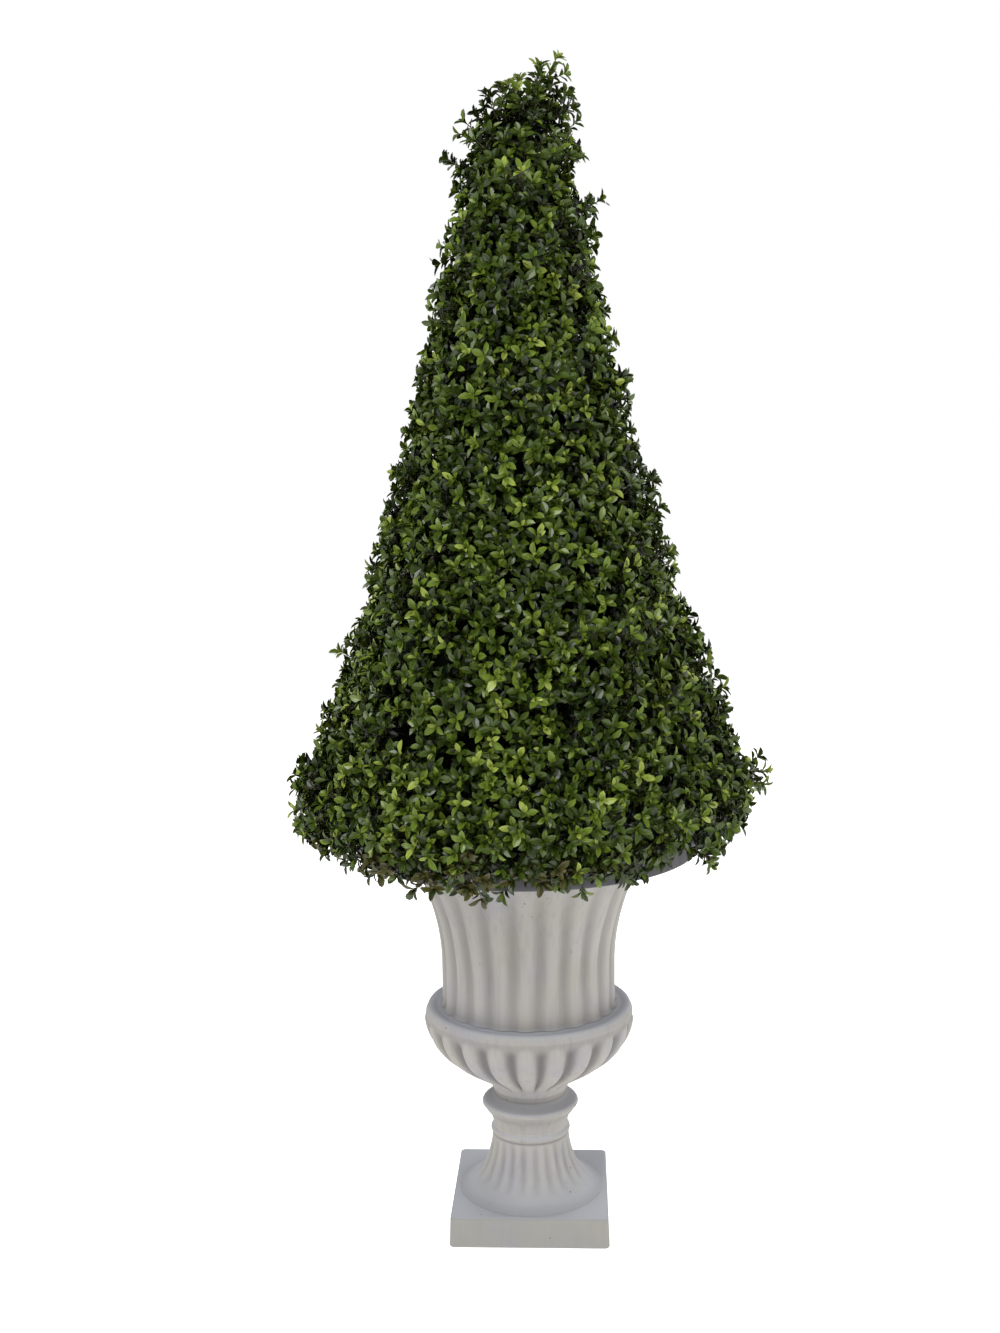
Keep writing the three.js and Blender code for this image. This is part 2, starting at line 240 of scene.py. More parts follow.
class Profile:
    """An outline of radius and height, drawn from the axis at the bottom outwards and up."""

    def __init__(self, radius: float, height: float) -> None:
        """Starts the outline at a point."""
        self.points: list[tuple[float, float]] = [(radius, height)]

    def line(self, radius: float, height: float, steps: int = 1) -> "Profile":
        """Draws a straight stretch in equal steps.

        Args:
            radius: how far from the axis it ends.
            height: the height at which it ends.
            steps: how many steps it takes.

        Returns:
            The profile itself, so that stretches can be chained.
        """
        start = np.array(self.points[-1])
        end = np.array([radius, height])
        self.points += [tuple(start + (end - start) * step / steps) for step in range(1, steps + 1)]
        return self

    def curve(
        self, near: tuple[float, float], far: tuple[float, float], end: tuple[float, float], steps: int
    ) -> "Profile":
        """Draws a cubic curve.

        Args:
            near: the handle at its start.
            far: the handle at its end.
            end: where it ends.
            steps: how many straight steps it takes.

        Returns:
            The profile itself.
        """
        corners = [np.array(p) for p in (self.points[-1], near, far, end)]
        for step in range(1, steps + 1):
            t = step / steps
            shares = ((1 - t) ** 3, 3 * t * (1 - t) ** 2, 3 * t * t * (1 - t), t**3)
            self.points.append(tuple(sum(share * corner for share, corner in zip(shares, corners))))
        return self

    def round(
        self, centre: tuple[float, float], radius: float, start: float, end: float, steps: int
    ) -> "Profile":
        """Draws an arc.

        Args:
            centre: the arc's centre.
            radius: its radius.
            start: its first angle in degrees, 0 pointing away from the axis and 90 pointing up.
            end: its last angle.
            steps: how many straight steps it takes.

        Returns:
            The profile itself.
        """
        for step in range(steps + 1):
            angle = math.radians(start + (end - start) * step / steps)
            self.points.append((centre[0] + radius * math.cos(angle), centre[1] + radius * math.sin(angle)))
        return self

    def rows(self) -> Array:
        """Gives the points as rows of radius and height."""
        return np.array(self.points)


def turned(
    rows: Array, sides: int, cut: Callable[[Array, Array], Array] | None = None
) -> tuple[Array, Array]:
    """Turns an outline round the Z axis, starting at the front.

    Args:
        rows: radius and height of each row.
        sides: how many points there are in each ring.
        cut: gives how deep the surface is cut in at each angle and height, where it isn't plain.

    Returns:
        Rings of points, and how deep each point is cut in.
    """
    angle, height = np.meshgrid(np.arange(sides) * 2 * math.pi / sides, rows[:, 1])
    depth = cut(angle, height) if cut else np.zeros_like(angle)
    reach = rows[:, :1] - depth
    return np.stack([reach * np.sin(angle), -reach * np.cos(angle), height], axis=-1), depth


def skin(rings: Array, capped: bool) -> list[list[int]]:
    """Joins rings of points into one closed skin.

    Args:
        rings: points by ring, place in the ring and axis.
        capped: whether both ends are capped. If not, the last ring joins the first.

    Returns:
        The faces, as lists of vertex numbers.
    """
    index = np.arange(rings.shape[0] * rings.shape[1]).reshape(rings.shape[:2])
    beside = np.roll(index, -1, axis=1)
    quads = np.stack([index, beside, np.roll(beside, -1, axis=0), np.roll(index, -1, axis=0)], axis=-1)
    if not capped:
        return quads.reshape(-1, 4).tolist()
    return [*quads[:-1].reshape(-1, 4).tolist(), index[0, ::-1].tolist(), index[-1].tolist()]


def place(piece: bpy.types.Object, finish: bpy.types.Material, replaced: tuple[str, ...]) -> None:
    """Puts a finished mesh in the scene, riding on the part's body.

    Args:
        piece: the new object.
        finish: its material.
        replaced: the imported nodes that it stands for.
    """
    bpy.context.scene.collection.objects.link(piece)
    piece.data.materials.append(finish)
    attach(piece, BODY)
    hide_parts(*replaced)
    log.info("%s: %d faces", piece.name, len(piece.data.polygons))


def solid_piece(name: str, rings: Array, crease: float = 40.0, capped: bool = True) -> bpy.types.Object:
    """Makes a smooth closed object from rings of points.

    Args:
        name: the object's name.
        rings: its rings of points, in millimetres.
        crease: edges that bend more than this many degrees stay sharp.
        capped: whether both ends are capped. If not, the last ring joins the first.

    Returns:
        The new object, not yet in the scene.
    """
    mesh = bpy.data.meshes.new(name)
    mesh.from_pydata(rings.reshape(-1, 3) * MM, [], skin(rings, capped))
    mesh.polygons.foreach_set("use_smooth", np.ones(len(mesh.polygons), bool))
    mesh.set_sharp_from_angle(angle=math.radians(crease))
    return bpy.data.objects.new(name, mesh)


def note_wash_and_shade(piece: bpy.types.Object, wash_and_shade: Array) -> None:
    """Stores on each vertex how much of the dark colour it takes, from 0 to 1: a wash left in the hollows,
    and painted shade in creases, under ledges and where parts meet.
    """
    layer = piece.data.attributes.new("wash_and_shade", "FLOAT", "POINT")
    layer.data.foreach_set("value", np.clip(wash_and_shade, 0, 1).astype(np.float32).ravel())


# -------------------------------------------------------------------- finishes


@dataclass(frozen=True)
class Finish(ABC):
    """What every finish has: its name and the numbers that are the same all over it."""

    name: str
    ior: float
    roughness: float
    gloss: float = 0.5

    @abstractmethod
    def drawn(self, tree: Tree, place_on: Socket) -> tuple[Socket | str, Socket]:
        """Draws the finish's patterns.

        Args:
            tree: the node tree.
            place_on: the place on the object.

        Returns:
            The colour, as an output or in hex, and the output of the relief's normal.
        """

    def material(self) -> bpy.types.Material:
        """Builds the material.

        Returns:
            The material, with its patterns drawn.
        """
        material, tree, shader = new_material(self.name, self.ior, self.roughness)
        shader.inputs["Specular IOR Level"].default_value = self.gloss
        colour, normal = self.drawn(tree, add(tree, "ShaderNodeTexCoord").outputs["Object"])
        give_colour(tree, shader.inputs["Base Color"], colour)
        tree.links.new(normal, shader.inputs["Normal"])
        return material


@dataclass(frozen=True)
class StoneResin(Finish):
    """Cast polyester resin filled with stone dust, rubbed back to a chalky matt.

    To the eye it is pale warm grey on the high places, with a cooler, darker colour in the flutes and on the
    ledges that is partly a wash left in them and partly painted shade, a bluish bloom of dust low down and,
    as dust and painted light from above, on what looks up, faint streaks down the walls, a fine sandy grain
    and the odd pinhole from casting.
    """

    name: str = "cast_stone_resin"
    ior: float = 1.54
    roughness: float = 0.8
    high_place: str = "#a5a29d"
    # the dark colour of the streaks, of the wash left in the hollows and of the painted shade
    wash_and_shade: str = "#6b6867"
    cool_patch: str = "#98979e"
    warm_patch: str = "#a39f95"
    # the paler bluish colour of dust, which also stands for painted light from above on what looks up
    dust: str = "#a9acb5"
    pinhole: str = "#4b4744"
    dust_height: float = 85.0
    dust_whole: float = -50.0  # the height at which the dust low down would cover the stone
    streak_strength: float = 0.36
    patch_size: float = 55.0
    streak_width: float = 5.0
    streak_length: float = 70.0
    grain: float = 0.9  # stone dust is finer; this is as coarse as it needs to be to show
    grain_depth: float = 0.3
    pinhole_spacing: float = 15.0
    pinhole_crowd: float = 60.0
    pinhole_radius: float = 1.0
    pinhole_depth: float = 0.6

    def drawn(self, tree: Tree, place_on: Socket) -> tuple[Socket, Socket]:
        """Draws the patches, streaks, dust, wash, pinholes and grain.

        Args:
            tree: the node tree.
            place_on: the place on the object.

        Returns:
            The outputs of the colour and of the relief's normal.
        """
        lengthwise = {"Scale": (1.0, 1.0, self.streak_width / self.streak_length)}
        stretched = add(tree, "ShaderNodeMapping", lengthwise, {"Vector": place_on}).outputs["Vector"]
        noises = (
            add(tree, "ShaderNodeTexNoise", {"Scale": per_metre(size), "Detail": fine}, {"Vector": laid})
            for size, fine, laid in (
                (self.patch_size, 3.0, place_on),
                (self.streak_width, 4.0, stretched),
                (self.pinhole_crowd, 2.0, place_on),
                (self.grain, 3.0, place_on),
            )
        )
        patches, streaks, crowding, grain = (noise.outputs["Fac"] for noise in noises)
        wash_and_shade_left = add(tree, "ShaderNodeAttribute", attribute_name="wash_and_shade").outputs["Fac"]
        holes = self.pinholes(tree, place_on, crowding)
        colour = layered(tree, self.high_place, self.warm_patch, patches, 0.52, 0.78)
        colour = layered(tree, colour, self.cool_patch, patches, 0.48, 0.2)
        colour = layered(tree, colour, self.wash_and_shade, streaks, 0.5, 0.9, self.streak_strength)
        colour = layered(tree, colour, self.dust, self.dust_and_top_light(tree, place_on))
        # painted shade: the stored amount lays in the dark colour, partly a real wash and partly painted
        # shade
        colour = layered(tree, colour, self.wash_and_shade, wash_and_shade_left)
        colour = layered(tree, colour, self.pinhole, holes)
        sand = {"Strength": 0.25, "Distance": self.grain_depth * MM}
        sandy = add(tree, "ShaderNodeBump", sand, {"Height": grain})
        pit = {"Strength": 1.0, "Distance": self.pinhole_depth * MM}
        onto = {"Height": holes, "Normal": sandy.outputs["Normal"]}
        return colour, add(tree, "ShaderNodeBump", pit, onto, invert=True).outputs["Normal"]

    def dust_and_top_light(self, tree: Tree, place_on: Socket) -> Socket:
        """Finds where the paler colour lies: low down on the walls, as dust, and on what looks up, as dust
        and painted light from above.

        Args:
            tree: the node tree.
            place_on: the place on the object.

        Returns:
            A pattern's output, 0 where the stone is clean.
        """
        facing = add(tree, "ShaderNodeNewGeometry").outputs["Normal"]
        upward, height = (
            add(tree, "ShaderNodeSeparateXYZ", links={"Vector": source}).outputs["Z"]
            for source in (facing, place_on)
        )
        low_down = (height, self.dust_height * MM, self.dust_whole * MM)
        # what looks up is paler: dust, and painted light from above
        return joined(tree, Joined.EITHER, (upward, 0.25, 1.1), low_down)

    def pinholes(self, tree: Tree, place_on: Socket, crowding: Socket) -> Socket:
        """Finds the pinholes, which come in crowds.

        Args:
            tree: the node tree.
            place_on: the place on the object.
            crowding: the pattern of the crowds.

        Returns:
            A pattern's output, 1 in the middle of a pinhole.
        """
        scale = {"Scale": per_metre(self.pinhole_spacing)}
        cells = add(tree, "ShaderNodeTexVoronoi", scale, {"Vector": place_on}).outputs["Distance"]
        edge = self.pinhole_radius / self.pinhole_spacing
        return joined(tree, Joined.BOTH, (cells, edge, edge * 0.4), (crowding, 0.46, 0.52))


@dataclass(frozen=True)
class MouldedPolypropylene(Finish):
    """Injection-moulded polypropylene: the dark base under the cone.

    To the eye it is a matt charcoal with a fine spark-eroded texture and a little dust.
    """

    name: str = "moulded_polypropylene"
    ior: float = 1.49
    roughness: float = 0.62
    plain: str = "#46444a"
    dusty: str = "#5c5a5f"
    dust_size: float = 30.0
    texture: float = 1.2  # spark erosion is finer; this is as coarse as it needs to be to show
    texture_depth: float = 0.2

    def drawn(self, tree: Tree, place_on: Socket) -> tuple[Socket, Socket]:
        """Draws the dust and the eroded texture.

        Args:
            tree: the node tree.
            place_on: the place on the object.

        Returns:
            The outputs of the colour and of the relief's normal.
        """
        dust, eroded = (
            add(tree, "ShaderNodeTexNoise", {"Scale": per_metre(size), "Detail": fine}, {"Vector": place_on})
            for size, fine in ((self.dust_size, 5.0), (self.texture, 2.0))
        )
        relief = {"Strength": 0.3, "Distance": self.texture_depth * MM}
        bump = add(tree, "ShaderNodeBump", relief, {"Height": eroded.outputs["Fac"]})
        colour = layered(tree, self.plain, self.dusty, dust.outputs["Fac"], 0.45, 0.75)
        return colour, bump.outputs["Normal"]


@dataclass(frozen=True)
class SettingPlaster(Finish):
    """Setting plaster poured in as ballast: pale and chalky, with damp patches and trapped air."""

    name: str = "setting_plaster"
    ior: float = 1.52
    roughness: float = 0.92
    dry: str = "#97938b"
    damp: str = "#77736d"
    patch_size: float = 40.0
    bubble: float = 5.0
    bubble_depth: float = 0.8

    def drawn(self, tree: Tree, place_on: Socket) -> tuple[Socket, Socket]:
        """Draws the damp patches and the bubbles.

        Args:
            tree: the node tree.
            place_on: the place on the object.

        Returns:
            The outputs of the colour and of the relief's normal.
        """
        scale = {"Scale": per_metre(self.patch_size), "Detail": 6.0}
        patches = add(tree, "ShaderNodeTexNoise", scale, {"Vector": place_on}).outputs["Fac"]
        scale = {"Scale": per_metre(self.bubble)}
        bubbles = add(tree, "ShaderNodeTexVoronoi", scale, {"Vector": place_on}).outputs["Distance"]
        relief = {"Strength": 0.6, "Distance": self.bubble_depth * MM}
        bump = add(tree, "ShaderNodeBump", relief, {"Height": bubbles})
        return layered(tree, self.dry, self.damp, patches, 0.35, 0.7), bump.outputs["Normal"]


@dataclass(frozen=True)
class Bark(Finish):
    """Bark on a dried pole: brown plates with dark cracks between them."""

    name: str = "dried_bark"
    ior: float = 1.5
    roughness: float = 0.88
    plate: str = "#5b4a34"
    crack: str = "#2b2219"
    plate_width: float = 4.0
    plate_length: float = 24.0
    crack_depth: float = 0.8

    def drawn(self, tree: Tree, place_on: Socket) -> tuple[Socket, Socket]:
        """Draws the plates and the cracks.

        Args:
            tree: the node tree.
            place_on: the place on the object.

        Returns:
            The outputs of the colour and of the relief's normal.
        """
        lengthwise = {"Scale": (1.0, 1.0, self.plate_width / self.plate_length)}
        stretched = add(tree, "ShaderNodeMapping", lengthwise, {"Vector": place_on}).outputs["Vector"]
        scale = {"Scale": per_metre(self.plate_width), "Detail": 6.0}
        fibres = add(tree, "ShaderNodeTexNoise", scale, {"Vector": stretched}).outputs["Fac"]
        relief = {"Strength": 0.8, "Distance": self.crack_depth * MM}
        bump = add(tree, "ShaderNodeBump", relief, {"Height": fibres})
        return layered(tree, self.crack, self.plate, fibres, 0.35, 0.65), bump.outputs["Normal"]


class LeafShade(Enum):
    """Colours of the leaves, from the darkest to the newest growth, and a faded one: the darkest, dealt to
    the innermost leaves, are partly older growth and partly painted shade.
    """

    # painted shade: the darkest colours stand for shade deep in the crown as well as for older growth
    SHADED = "#081201"
    OLD = "#132103"
    MATURE = "#283708"
    GROWN = "#405214"
    FRESH = "#647824"
    TIP = "#94a348"
    FADED = "#47451a"


@dataclass(frozen=True)
class MouldedLeaf(Finish):
    """Polyethylene leaf moulded with fine veins.

    To the eye it is a soft waxy sheen over a colour that runs through the plastic, so each shade is one
    plain colour; the newest leaves are the brightest, and the darkest colours are partly painted shade.
    """

    name: str = "moulded_leaf"
    ior: float = 1.51
    roughness: float = 0.3
    gloss: float = 0.4
    colour: str = LeafShade.GROWN.value
    vein_spacing: float = 1.4  # the veins lie closer; this is as coarse as it needs to be to show
    vein_depth: float = 0.25

    def drawn(self, tree: Tree, place_on: Socket) -> tuple[str, Socket]:
        """Draws the veins.

        Args:
            tree: the node tree.
            place_on: the place on the object.

        Returns:
            The colour in hex, and the output of the relief's normal.
        """
        scale = {"Scale": per_metre(self.vein_spacing), "Detail": 2.0}
        veins = add(tree, "ShaderNodeTexNoise", scale, {"Vector": place_on}).outputs["Fac"]
        relief = {"Strength": 0.35, "Distance": self.vein_depth * MM}
        return self.colour, add(tree, "ShaderNodeBump", relief, {"Height": veins}).outputs["Normal"]


@dataclass(frozen=True)
class MouldedTwig(Finish):
    """Polyethylene moulded on wire: the twigs, olive brown, dull and paler where they are worn."""

    name: str = "moulded_twig"
    ior: float = 1.51
    roughness: float = 0.6
    colour: str = "#3d3a22"
    worn: str = "#5a4c30"
    patch_size: float = 3.0
    patch_depth: float = 0.3

    def drawn(self, tree: Tree, place_on: Socket) -> tuple[Socket, Socket]:
        """Draws the worn patches.

        Args:
            tree: the node tree.
            place_on: the place on the object.

        Returns:
            The outputs of the colour and of the relief's normal.
        """
        scale = {"Scale": per_metre(self.patch_size), "Detail": 3.0}
        patches = add(tree, "ShaderNodeTexNoise", scale, {"Vector": place_on}).outputs["Fac"]
        relief = {"Strength": 0.5, "Distance": self.patch_depth * MM}
        bump = add(tree, "ShaderNodeBump", relief, {"Height": patches})
        return layered(tree, self.colour, self.worn, patches, 0.4, 0.7), bump.outputs["Normal"]


@dataclass(frozen=True)
class MouldedCage(MouldedTwig):
    """The same polyethylene in the cage: almost black and quite matt, so that it reads as shade."""

    name: str = "moulded_cage_painted_shade"
    roughness: float = 0.95
    gloss: float = 0.1
    # painted shade: near black, standing for the shade deep in the crown
    colour: str = "#0a0f05"
    worn: str = "#10160a"


# ------------------------------------------------------------------------- urn


@dataclass(frozen=True)
class Flutes:
    """Flutes that fade out at their ends and wander a little, as carved ones do, with a rib to the front.

    The sharper they are, the broader the ribs and the narrower the grooves.
    """

    sharpness: float
    low: float
    high: float
    depth: float

    def cut(self, angle: Array, height: Array) -> Array:
        """Gives how deep the surface is cut in.

        Args:
            angle: the angle from the front.
            height: the height.

        Returns:
            The depth in millimetres.
        """
        wandering = angle + 0.010 * np.sin(height / 31 + 5 * angle) + 0.006 * np.sin(height / 13 - 3 * angle)
        across = np.abs(np.sin(wandering * RIBS / 2))
        along = np.clip((height - self.low) / (self.high - self.low), 0, 1)
        crowned = 0.8 * across**self.sharpness + 0.2 * across**2
        return self.depth * np.sqrt(np.sin(math.pi * along)) * crowned


@dataclass
class Urn:
    """The urn: plinth, foot, knop, bowl and bell."""

    sides_per_rib: int = 16
    # the plinth
    plinth_corner: float = 4.0
    plinth_edge: float = 2.5
    plinth_draft: float = 1.25
    plinth_side_steps: int = 16
    plinth_corner_steps: int = 6
    # the foot's radii, and how deep its flutes are
    disc_edge: float = 9.0
    waist: float = 41.6
    neck: float = 39.3
    foot_groove: float = 2.1
    # the radii of the bell and the hollow in it, and how deep its flutes are
    bell: float = 92.7
    cavity: float = 84.0
    mouth: float = 114.0
    bell_groove: float = 4.4
    # the bowl: the heights of its hollow and its gadroons, and how deep the grooves between them are
    cavity_floor: float = 162.0
    gadroon_foot: float = 152.0
    head_foot: float = 213.0
    head_top: float = 229.0
    gadroon_groove: float = 6.4
    finish: StoneResin = field(default_factory=StoneResin)
    # painted shade: the plinth's stone is darker than the urn's, standing for the shade on its sides
    plinth_finish: StoneResin = StoneResin(
        name="handled_stone_resin", high_place="#9b9b95", dust_height=0.0, streak_strength=0.15
    )

    def build(self) -> None:
        """Builds and dresses the five pieces."""
        stone, shade_darkened = self.finish.material(), self.plinth_finish.material()
        for name, maker, finish in (
            ("urn_plinth", self.plinth, shade_darkened),
            ("urn_foot", self.foot, stone),
            ("urn_knop", self.knop, stone),
            ("urn_bowl", self.bowl, stone),
            ("urn_body", self.body, stone),
        ):
            rings, wash_and_shade = maker(Span.of(name))
            piece = solid_piece(f"{name}_cast", rings)
            note_wash_and_shade(piece, wash_and_shade)
            place(piece, finish, (name,))

    @property
    def sides(self) -> int:
        """How many points there are in each ring."""
        return RIBS * self.sides_per_rib

    def square(self, radius: float) -> Array:
        """Draws the plinth's plan, a square with rounded corners.

        Args:
            radius: half of its side.

        Returns:
            Points on a square that reaches from -1 to 1.
        """
        corner = self.plinth_corner / radius
        reach = 1.0 - corner
        sides, in_corner = self.plinth_side_steps, self.plinth_corner_steps
        straight = [(1.0, -reach + 2 * reach * step / sides) for step in range(sides)]
        angles = [math.pi / 2 * step / in_corner for step in range(in_corner)]
        rounded = [(reach + corner * math.cos(a), reach + corner * math.sin(a)) for a in angles]
        outline: list[tuple[float, float]] = []
        for quarter in range(4):
            turn = quarter * math.pi / 2
            cosine, sine = math.cos(turn), math.sin(turn)
            outline += [(x * cosine - y * sine, x * sine + y * cosine) for x, y in straight + rounded]
        return np.array(outline)

    def plinth(self, span: Span) -> tuple[Array, Array]:
        """Makes the square slab, with rounded corners and edges.

        Args:
            span: where the slab lies.

        Returns:
            Rings of points, and how much of the dark wash and painted shade each takes.
        """
        edge, middle = self.plinth_edge, 12.0
        profile = Profile(middle, span.low).line(span.radius - edge, span.low, 12)
        profile.round((span.radius - edge, span.low + edge), edge, -90, 0, 5)
        profile.line(span.radius, span.high - edge, 10)
        profile.round((span.radius - edge, span.high - edge), edge, 0, 90, 5)
        profile.line(middle, span.high, 14)
        rows, square = profile.rows(), self.square(span.radius)
        drafted = rows[:, 0] - self.plinth_draft * (rows[:, 1] - span.low) / (span.high - span.low)
        heights = np.broadcast_to(rows[:, 1, None, None], (len(rows), len(square), 1))
        rings = np.concatenate([drafted[:, None, None] * square[None], heights], axis=-1)
        on_top = rings[..., 2] > span.high - 0.5
        from_axis = np.hypot(rings[..., 0], rings[..., 1])
        painted_shadow_beside_disc = np.exp(-np.abs(from_axis - Span.of("urn_foot").radius) / 8)
        # painted shade: the sides darker than the top, and a painted shadow on the top round the foot's disc
        return rings, np.where(on_top, 0.07 + 0.2 * painted_shadow_beside_disc, 0.27)

    def foot(self, span: Span) -> tuple[Array, Array]:
        """Makes the trumpet foot, with its flutes and the bead at its waist.

        Args:
            span: where the foot lies.

        Returns:
            Rings of points, and how much of the dark wash and painted shade each takes.
        """
        base, disc, waist = span.low, span.radius, self.waist
        profile = Profile(10.0, base).line(disc - 0.2, base, 6).line(disc, base + 0.2)
        shoulder = (disc - self.disc_edge, base + 4.4)
        profile.curve((disc - 2.4, base + 1.4), (disc - 5.0, base + 3.0), shoulder, 8)
        profile.curve((55.0, base + 10.5), (waist + 2.0, base + 32.0), (waist + 0.1, base + 58.0), 34)
        profile.line(waist - 1.4, base + 61.0, 3)
        profile.round((waist - 1.8, base + 65.6), 3.0, -60, 60, 8)
        profile.line(waist - 1.6, base + 69.6, 2)
        profile.line(waist - 1.4, span.high, 2)
        profile.line(10.0, span.high, 4)
        flutes = Flutes(sharpness=4.2, low=base + 11, high=base + 60, depth=self.foot_groove)
        rings, depth = turned(profile.rows(), self.sides, flutes.cut)
        height = rings[..., 2]
        # painted shade in the groove under the bead, and low down towards the disc's edge
        painted_groove_shade = np.exp(-(((height - base - 61.0) / 1.0) ** 2))
        near_disc = np.clip((base + 22 - height) / 18, 0, 1)
        on_disc = np.clip((base + 6 - height) / 4, 0, 1)
        low_down = 0.11 * near_disc + 0.18 * on_disc
        # the flutes are darker, partly a real wash and partly painted shade
        return rings, 0.03 + depth / self.foot_groove * 0.3 + 0.6 * painted_groove_shade + low_down

    def knop(self, span: Span) -> tuple[Array, Array]:
        """Makes the cyma, the round knop and the neck above it.

        Args:
            span: where the knop lies.

        Returns:
            Rings of points, and how much of the dark wash and painted shade each takes.
        """
        base, wide, waist, neck = span.low, span.radius, self.waist, self.neck
        profile = Profile(10.0, base).line(waist - 1.4, base, 4)
        profile.curve((waist - 0.6, base + 8), (wide - 8.5, base + 12.0), (wide - 4.0, base + 17.0), 12)
        profile.curve((wide - 3.2, base + 18.5), (wide - 2.6, base + 20.5), (wide - 0.9, base + 21.5), 6)
        profile.curve((wide + 0.5, base + 22.4), (wide + 0.2, base + 24.6), (wide - 1.6, base + 26.0), 8)
        profile.curve((wide - 5.0, base + 28.4), (neck + 1.5, base + 30.0), (neck + 0.2, base + 32.6), 10)
        profile.line(neck - 0.6, base + 34.4, 2)
        profile.curve((neck - 0.4, base + 38.0), (neck + 0.4, base + 40.0), (neck + 2.0, span.high), 8)
        profile.line(10.0, span.high, 4)
        rings, _ = turned(profile.rows(), self.sides)
        height = rings[..., 2]
        # painted shade: under the knop, on its top face under the bowl, in the crease at the neck, and below
        # its widest point
        undercut = np.exp(-(((height - base - 14.5) / 4.5) ** 2))
        on_top = np.clip((height - base - 25.6) / 1.5, 0, 1) * np.clip((base + 42.0 - height) / 3, 0, 1)
        crease = np.exp(-(((height - base - 34.4) / 1.0) ** 2))
        below = 0.08 * np.clip((base + 24 - height) / 4, 0, 1)
        return rings, 0.08 + below + 0.2 * undercut + 0.4 * on_top + 0.35 * crease

    def gadroons(self, angle: Array, height: Array) -> Array:
        """Gives how deep the bowl is cut between its gadroons, which have round heads.

        Args:
            angle: the angle from the front.
            height: the height.

        Returns:
            The depth in millimetres.
        """
        across = np.abs((angle * RIBS / (2 * math.pi) + 0.5) % 1 - 0.5) * 2
        into_head = np.clip((height - self.head_foot) / (self.head_top - self.head_foot), 0, 1)
        half_width = np.interp(height, [160, 205], [0.84, 0.66]) * np.sqrt(1 - into_head**2) + 0.03
        pillow = 0.4 * np.minimum(across / half_width, 1) ** 3
        valley = np.clip((across - 0.86 * half_width) / (1.04 - 0.86 * half_width), 0, 1)
        groove = pillow + 0.6 * np.sin(valley * math.pi / 2)
        starts = np.clip((height - self.gadroon_foot) / 16, 0, 1)
        fades = np.clip((self.head_top + 3 - height) / 15, 0, 1)
        return self.gadroon_groove * groove * starts**0.8 * fades**0.8

    def bowl(self, span: Span) -> tuple[Array, Array]:
        """Makes the gadrooned bowl, its rim and the ledge in it, with the hollow inside.

        Args:
            span: where the bowl lies.

        Returns:
            Rings of points, and how much of the dark wash and painted shade each takes.
        """
        base, neck, wide, ledge = span.low, self.neck + 2.0, span.radius, span.high - 1.0
        profile = Profile(10.0, base).line(neck, base, 4).line(neck + 1.5, base + 4, 3)
        profile.curve((56.0, base + 20), (107.5, base + 33), (wide, base + 78), 52)
        profile.curve((wide, base + 82), (wide - 1.4, base + 86), (wide - 3.0, ledge - 4.0), 6)
        profile.curve((wide - 3.8, ledge - 1.2), (wide - 5.4, ledge), (wide - 8.0, ledge - 0.2), 7)
        profile.curve((wide - 11.0, ledge - 0.3), (wide - 12.0, ledge - 1.0), (wide - 14.5, ledge - 1.1), 5)
        profile.line(self.bell + 2.2, ledge - 0.6, 3).line(self.cavity + 1.0, ledge - 0.2, 3)
        profile.line(self.cavity, ledge - 1.2).line(self.cavity, 200.0, 4)
        profile.line(self.cavity - 14, 180.0, 3).line(42.0, self.cavity_floor, 4)
        profile.line(8.0, self.cavity_floor, 3)
        rows = profile.rows()
        outer = np.arange(len(rows)) < int(np.argmax(rows[:, 0])) + 4
        rings, _ = turned(rows, self.sides)
        cut_rings, depth = turned(rows, self.sides, self.gadroons)
        rings[outer] = cut_rings[outer]
        depth[~outer] = 0
        # painted shade: across the ledge towards the bell, and on the band and rim under the foliage
        inwards = np.clip((wide - 5.5 - rows[:, 0]) / 6.0, 0, 1)
        on_ledge = (~outer) & (rows[:, 1] > ledge - 5)
        on_band = np.clip((rows[:, 1] - self.head_top + 4) / 10, 0, 1) * outer
        by_row = np.where(on_ledge, 0.1 + 0.17 * inwards, 0.14) + 0.28 * on_band
        # the valleys between the gadroons are darker, partly a real wash and partly painted shade
        return rings, depth / self.gadroon_groove * 0.84 + by_row[:, None]

    def body(self, span: Span) -> tuple[Array, Array]:
        """Makes the fluted bell with its lip, and the cavity down to the bowl.

        Args:
            span: where the bell lies.

        Returns:
            Rings of points, and the wash left on each.
        """
        base, bell, lip = span.low, self.bell, span.radius
        profile = Profile(self.cavity, base).line(bell + 2.6, base, 3)
        profile.curve((bell + 0.9, base + 0.6), (bell, base + 3), (bell, base + 8), 6)
        profile.line(bell, base + 45, 10)
        profile.curve((bell, base + 95), (108.0, base + 128), (lip - 9.5, base + 159.5), 34)
        profile.curve((lip - 4.0, base + 161.0), (lip - 1.0, base + 162.0), (lip, base + 165.0), 5)
        profile.line(lip, span.high - 1.5, 2).line(lip - 1.5, span.high, 1)
        profile.line(self.mouth, span.high, 4)
        profile.line(self.cavity, base + 80, 8).line(self.cavity, base + 1, 4)
        rows = profile.rows()
        flutes = Flutes(sharpness=3.8, low=base - 16, high=span.high - 9, depth=self.bell_groove)
        rings, depth = turned(rows, self.sides, flutes.cut)
        inside = np.arange(len(rows)) > int(np.argmax(rows[:, 0])) + 3
        plain, _ = turned(rows, self.sides)
        rings[inside] = plain[inside]
        depth[inside] = 0
        # painted shade just above the ledge, where the bell meets it
        low_down = 0.3 * np.exp(-(rings[..., 2] - base) / 9)
        # the flutes are darker, partly a real wash and partly painted shade
        return rings, 0.07 + depth / self.bell_groove * 0.46 + low_down


# --------------------------------------------------------- base, ballast, stem


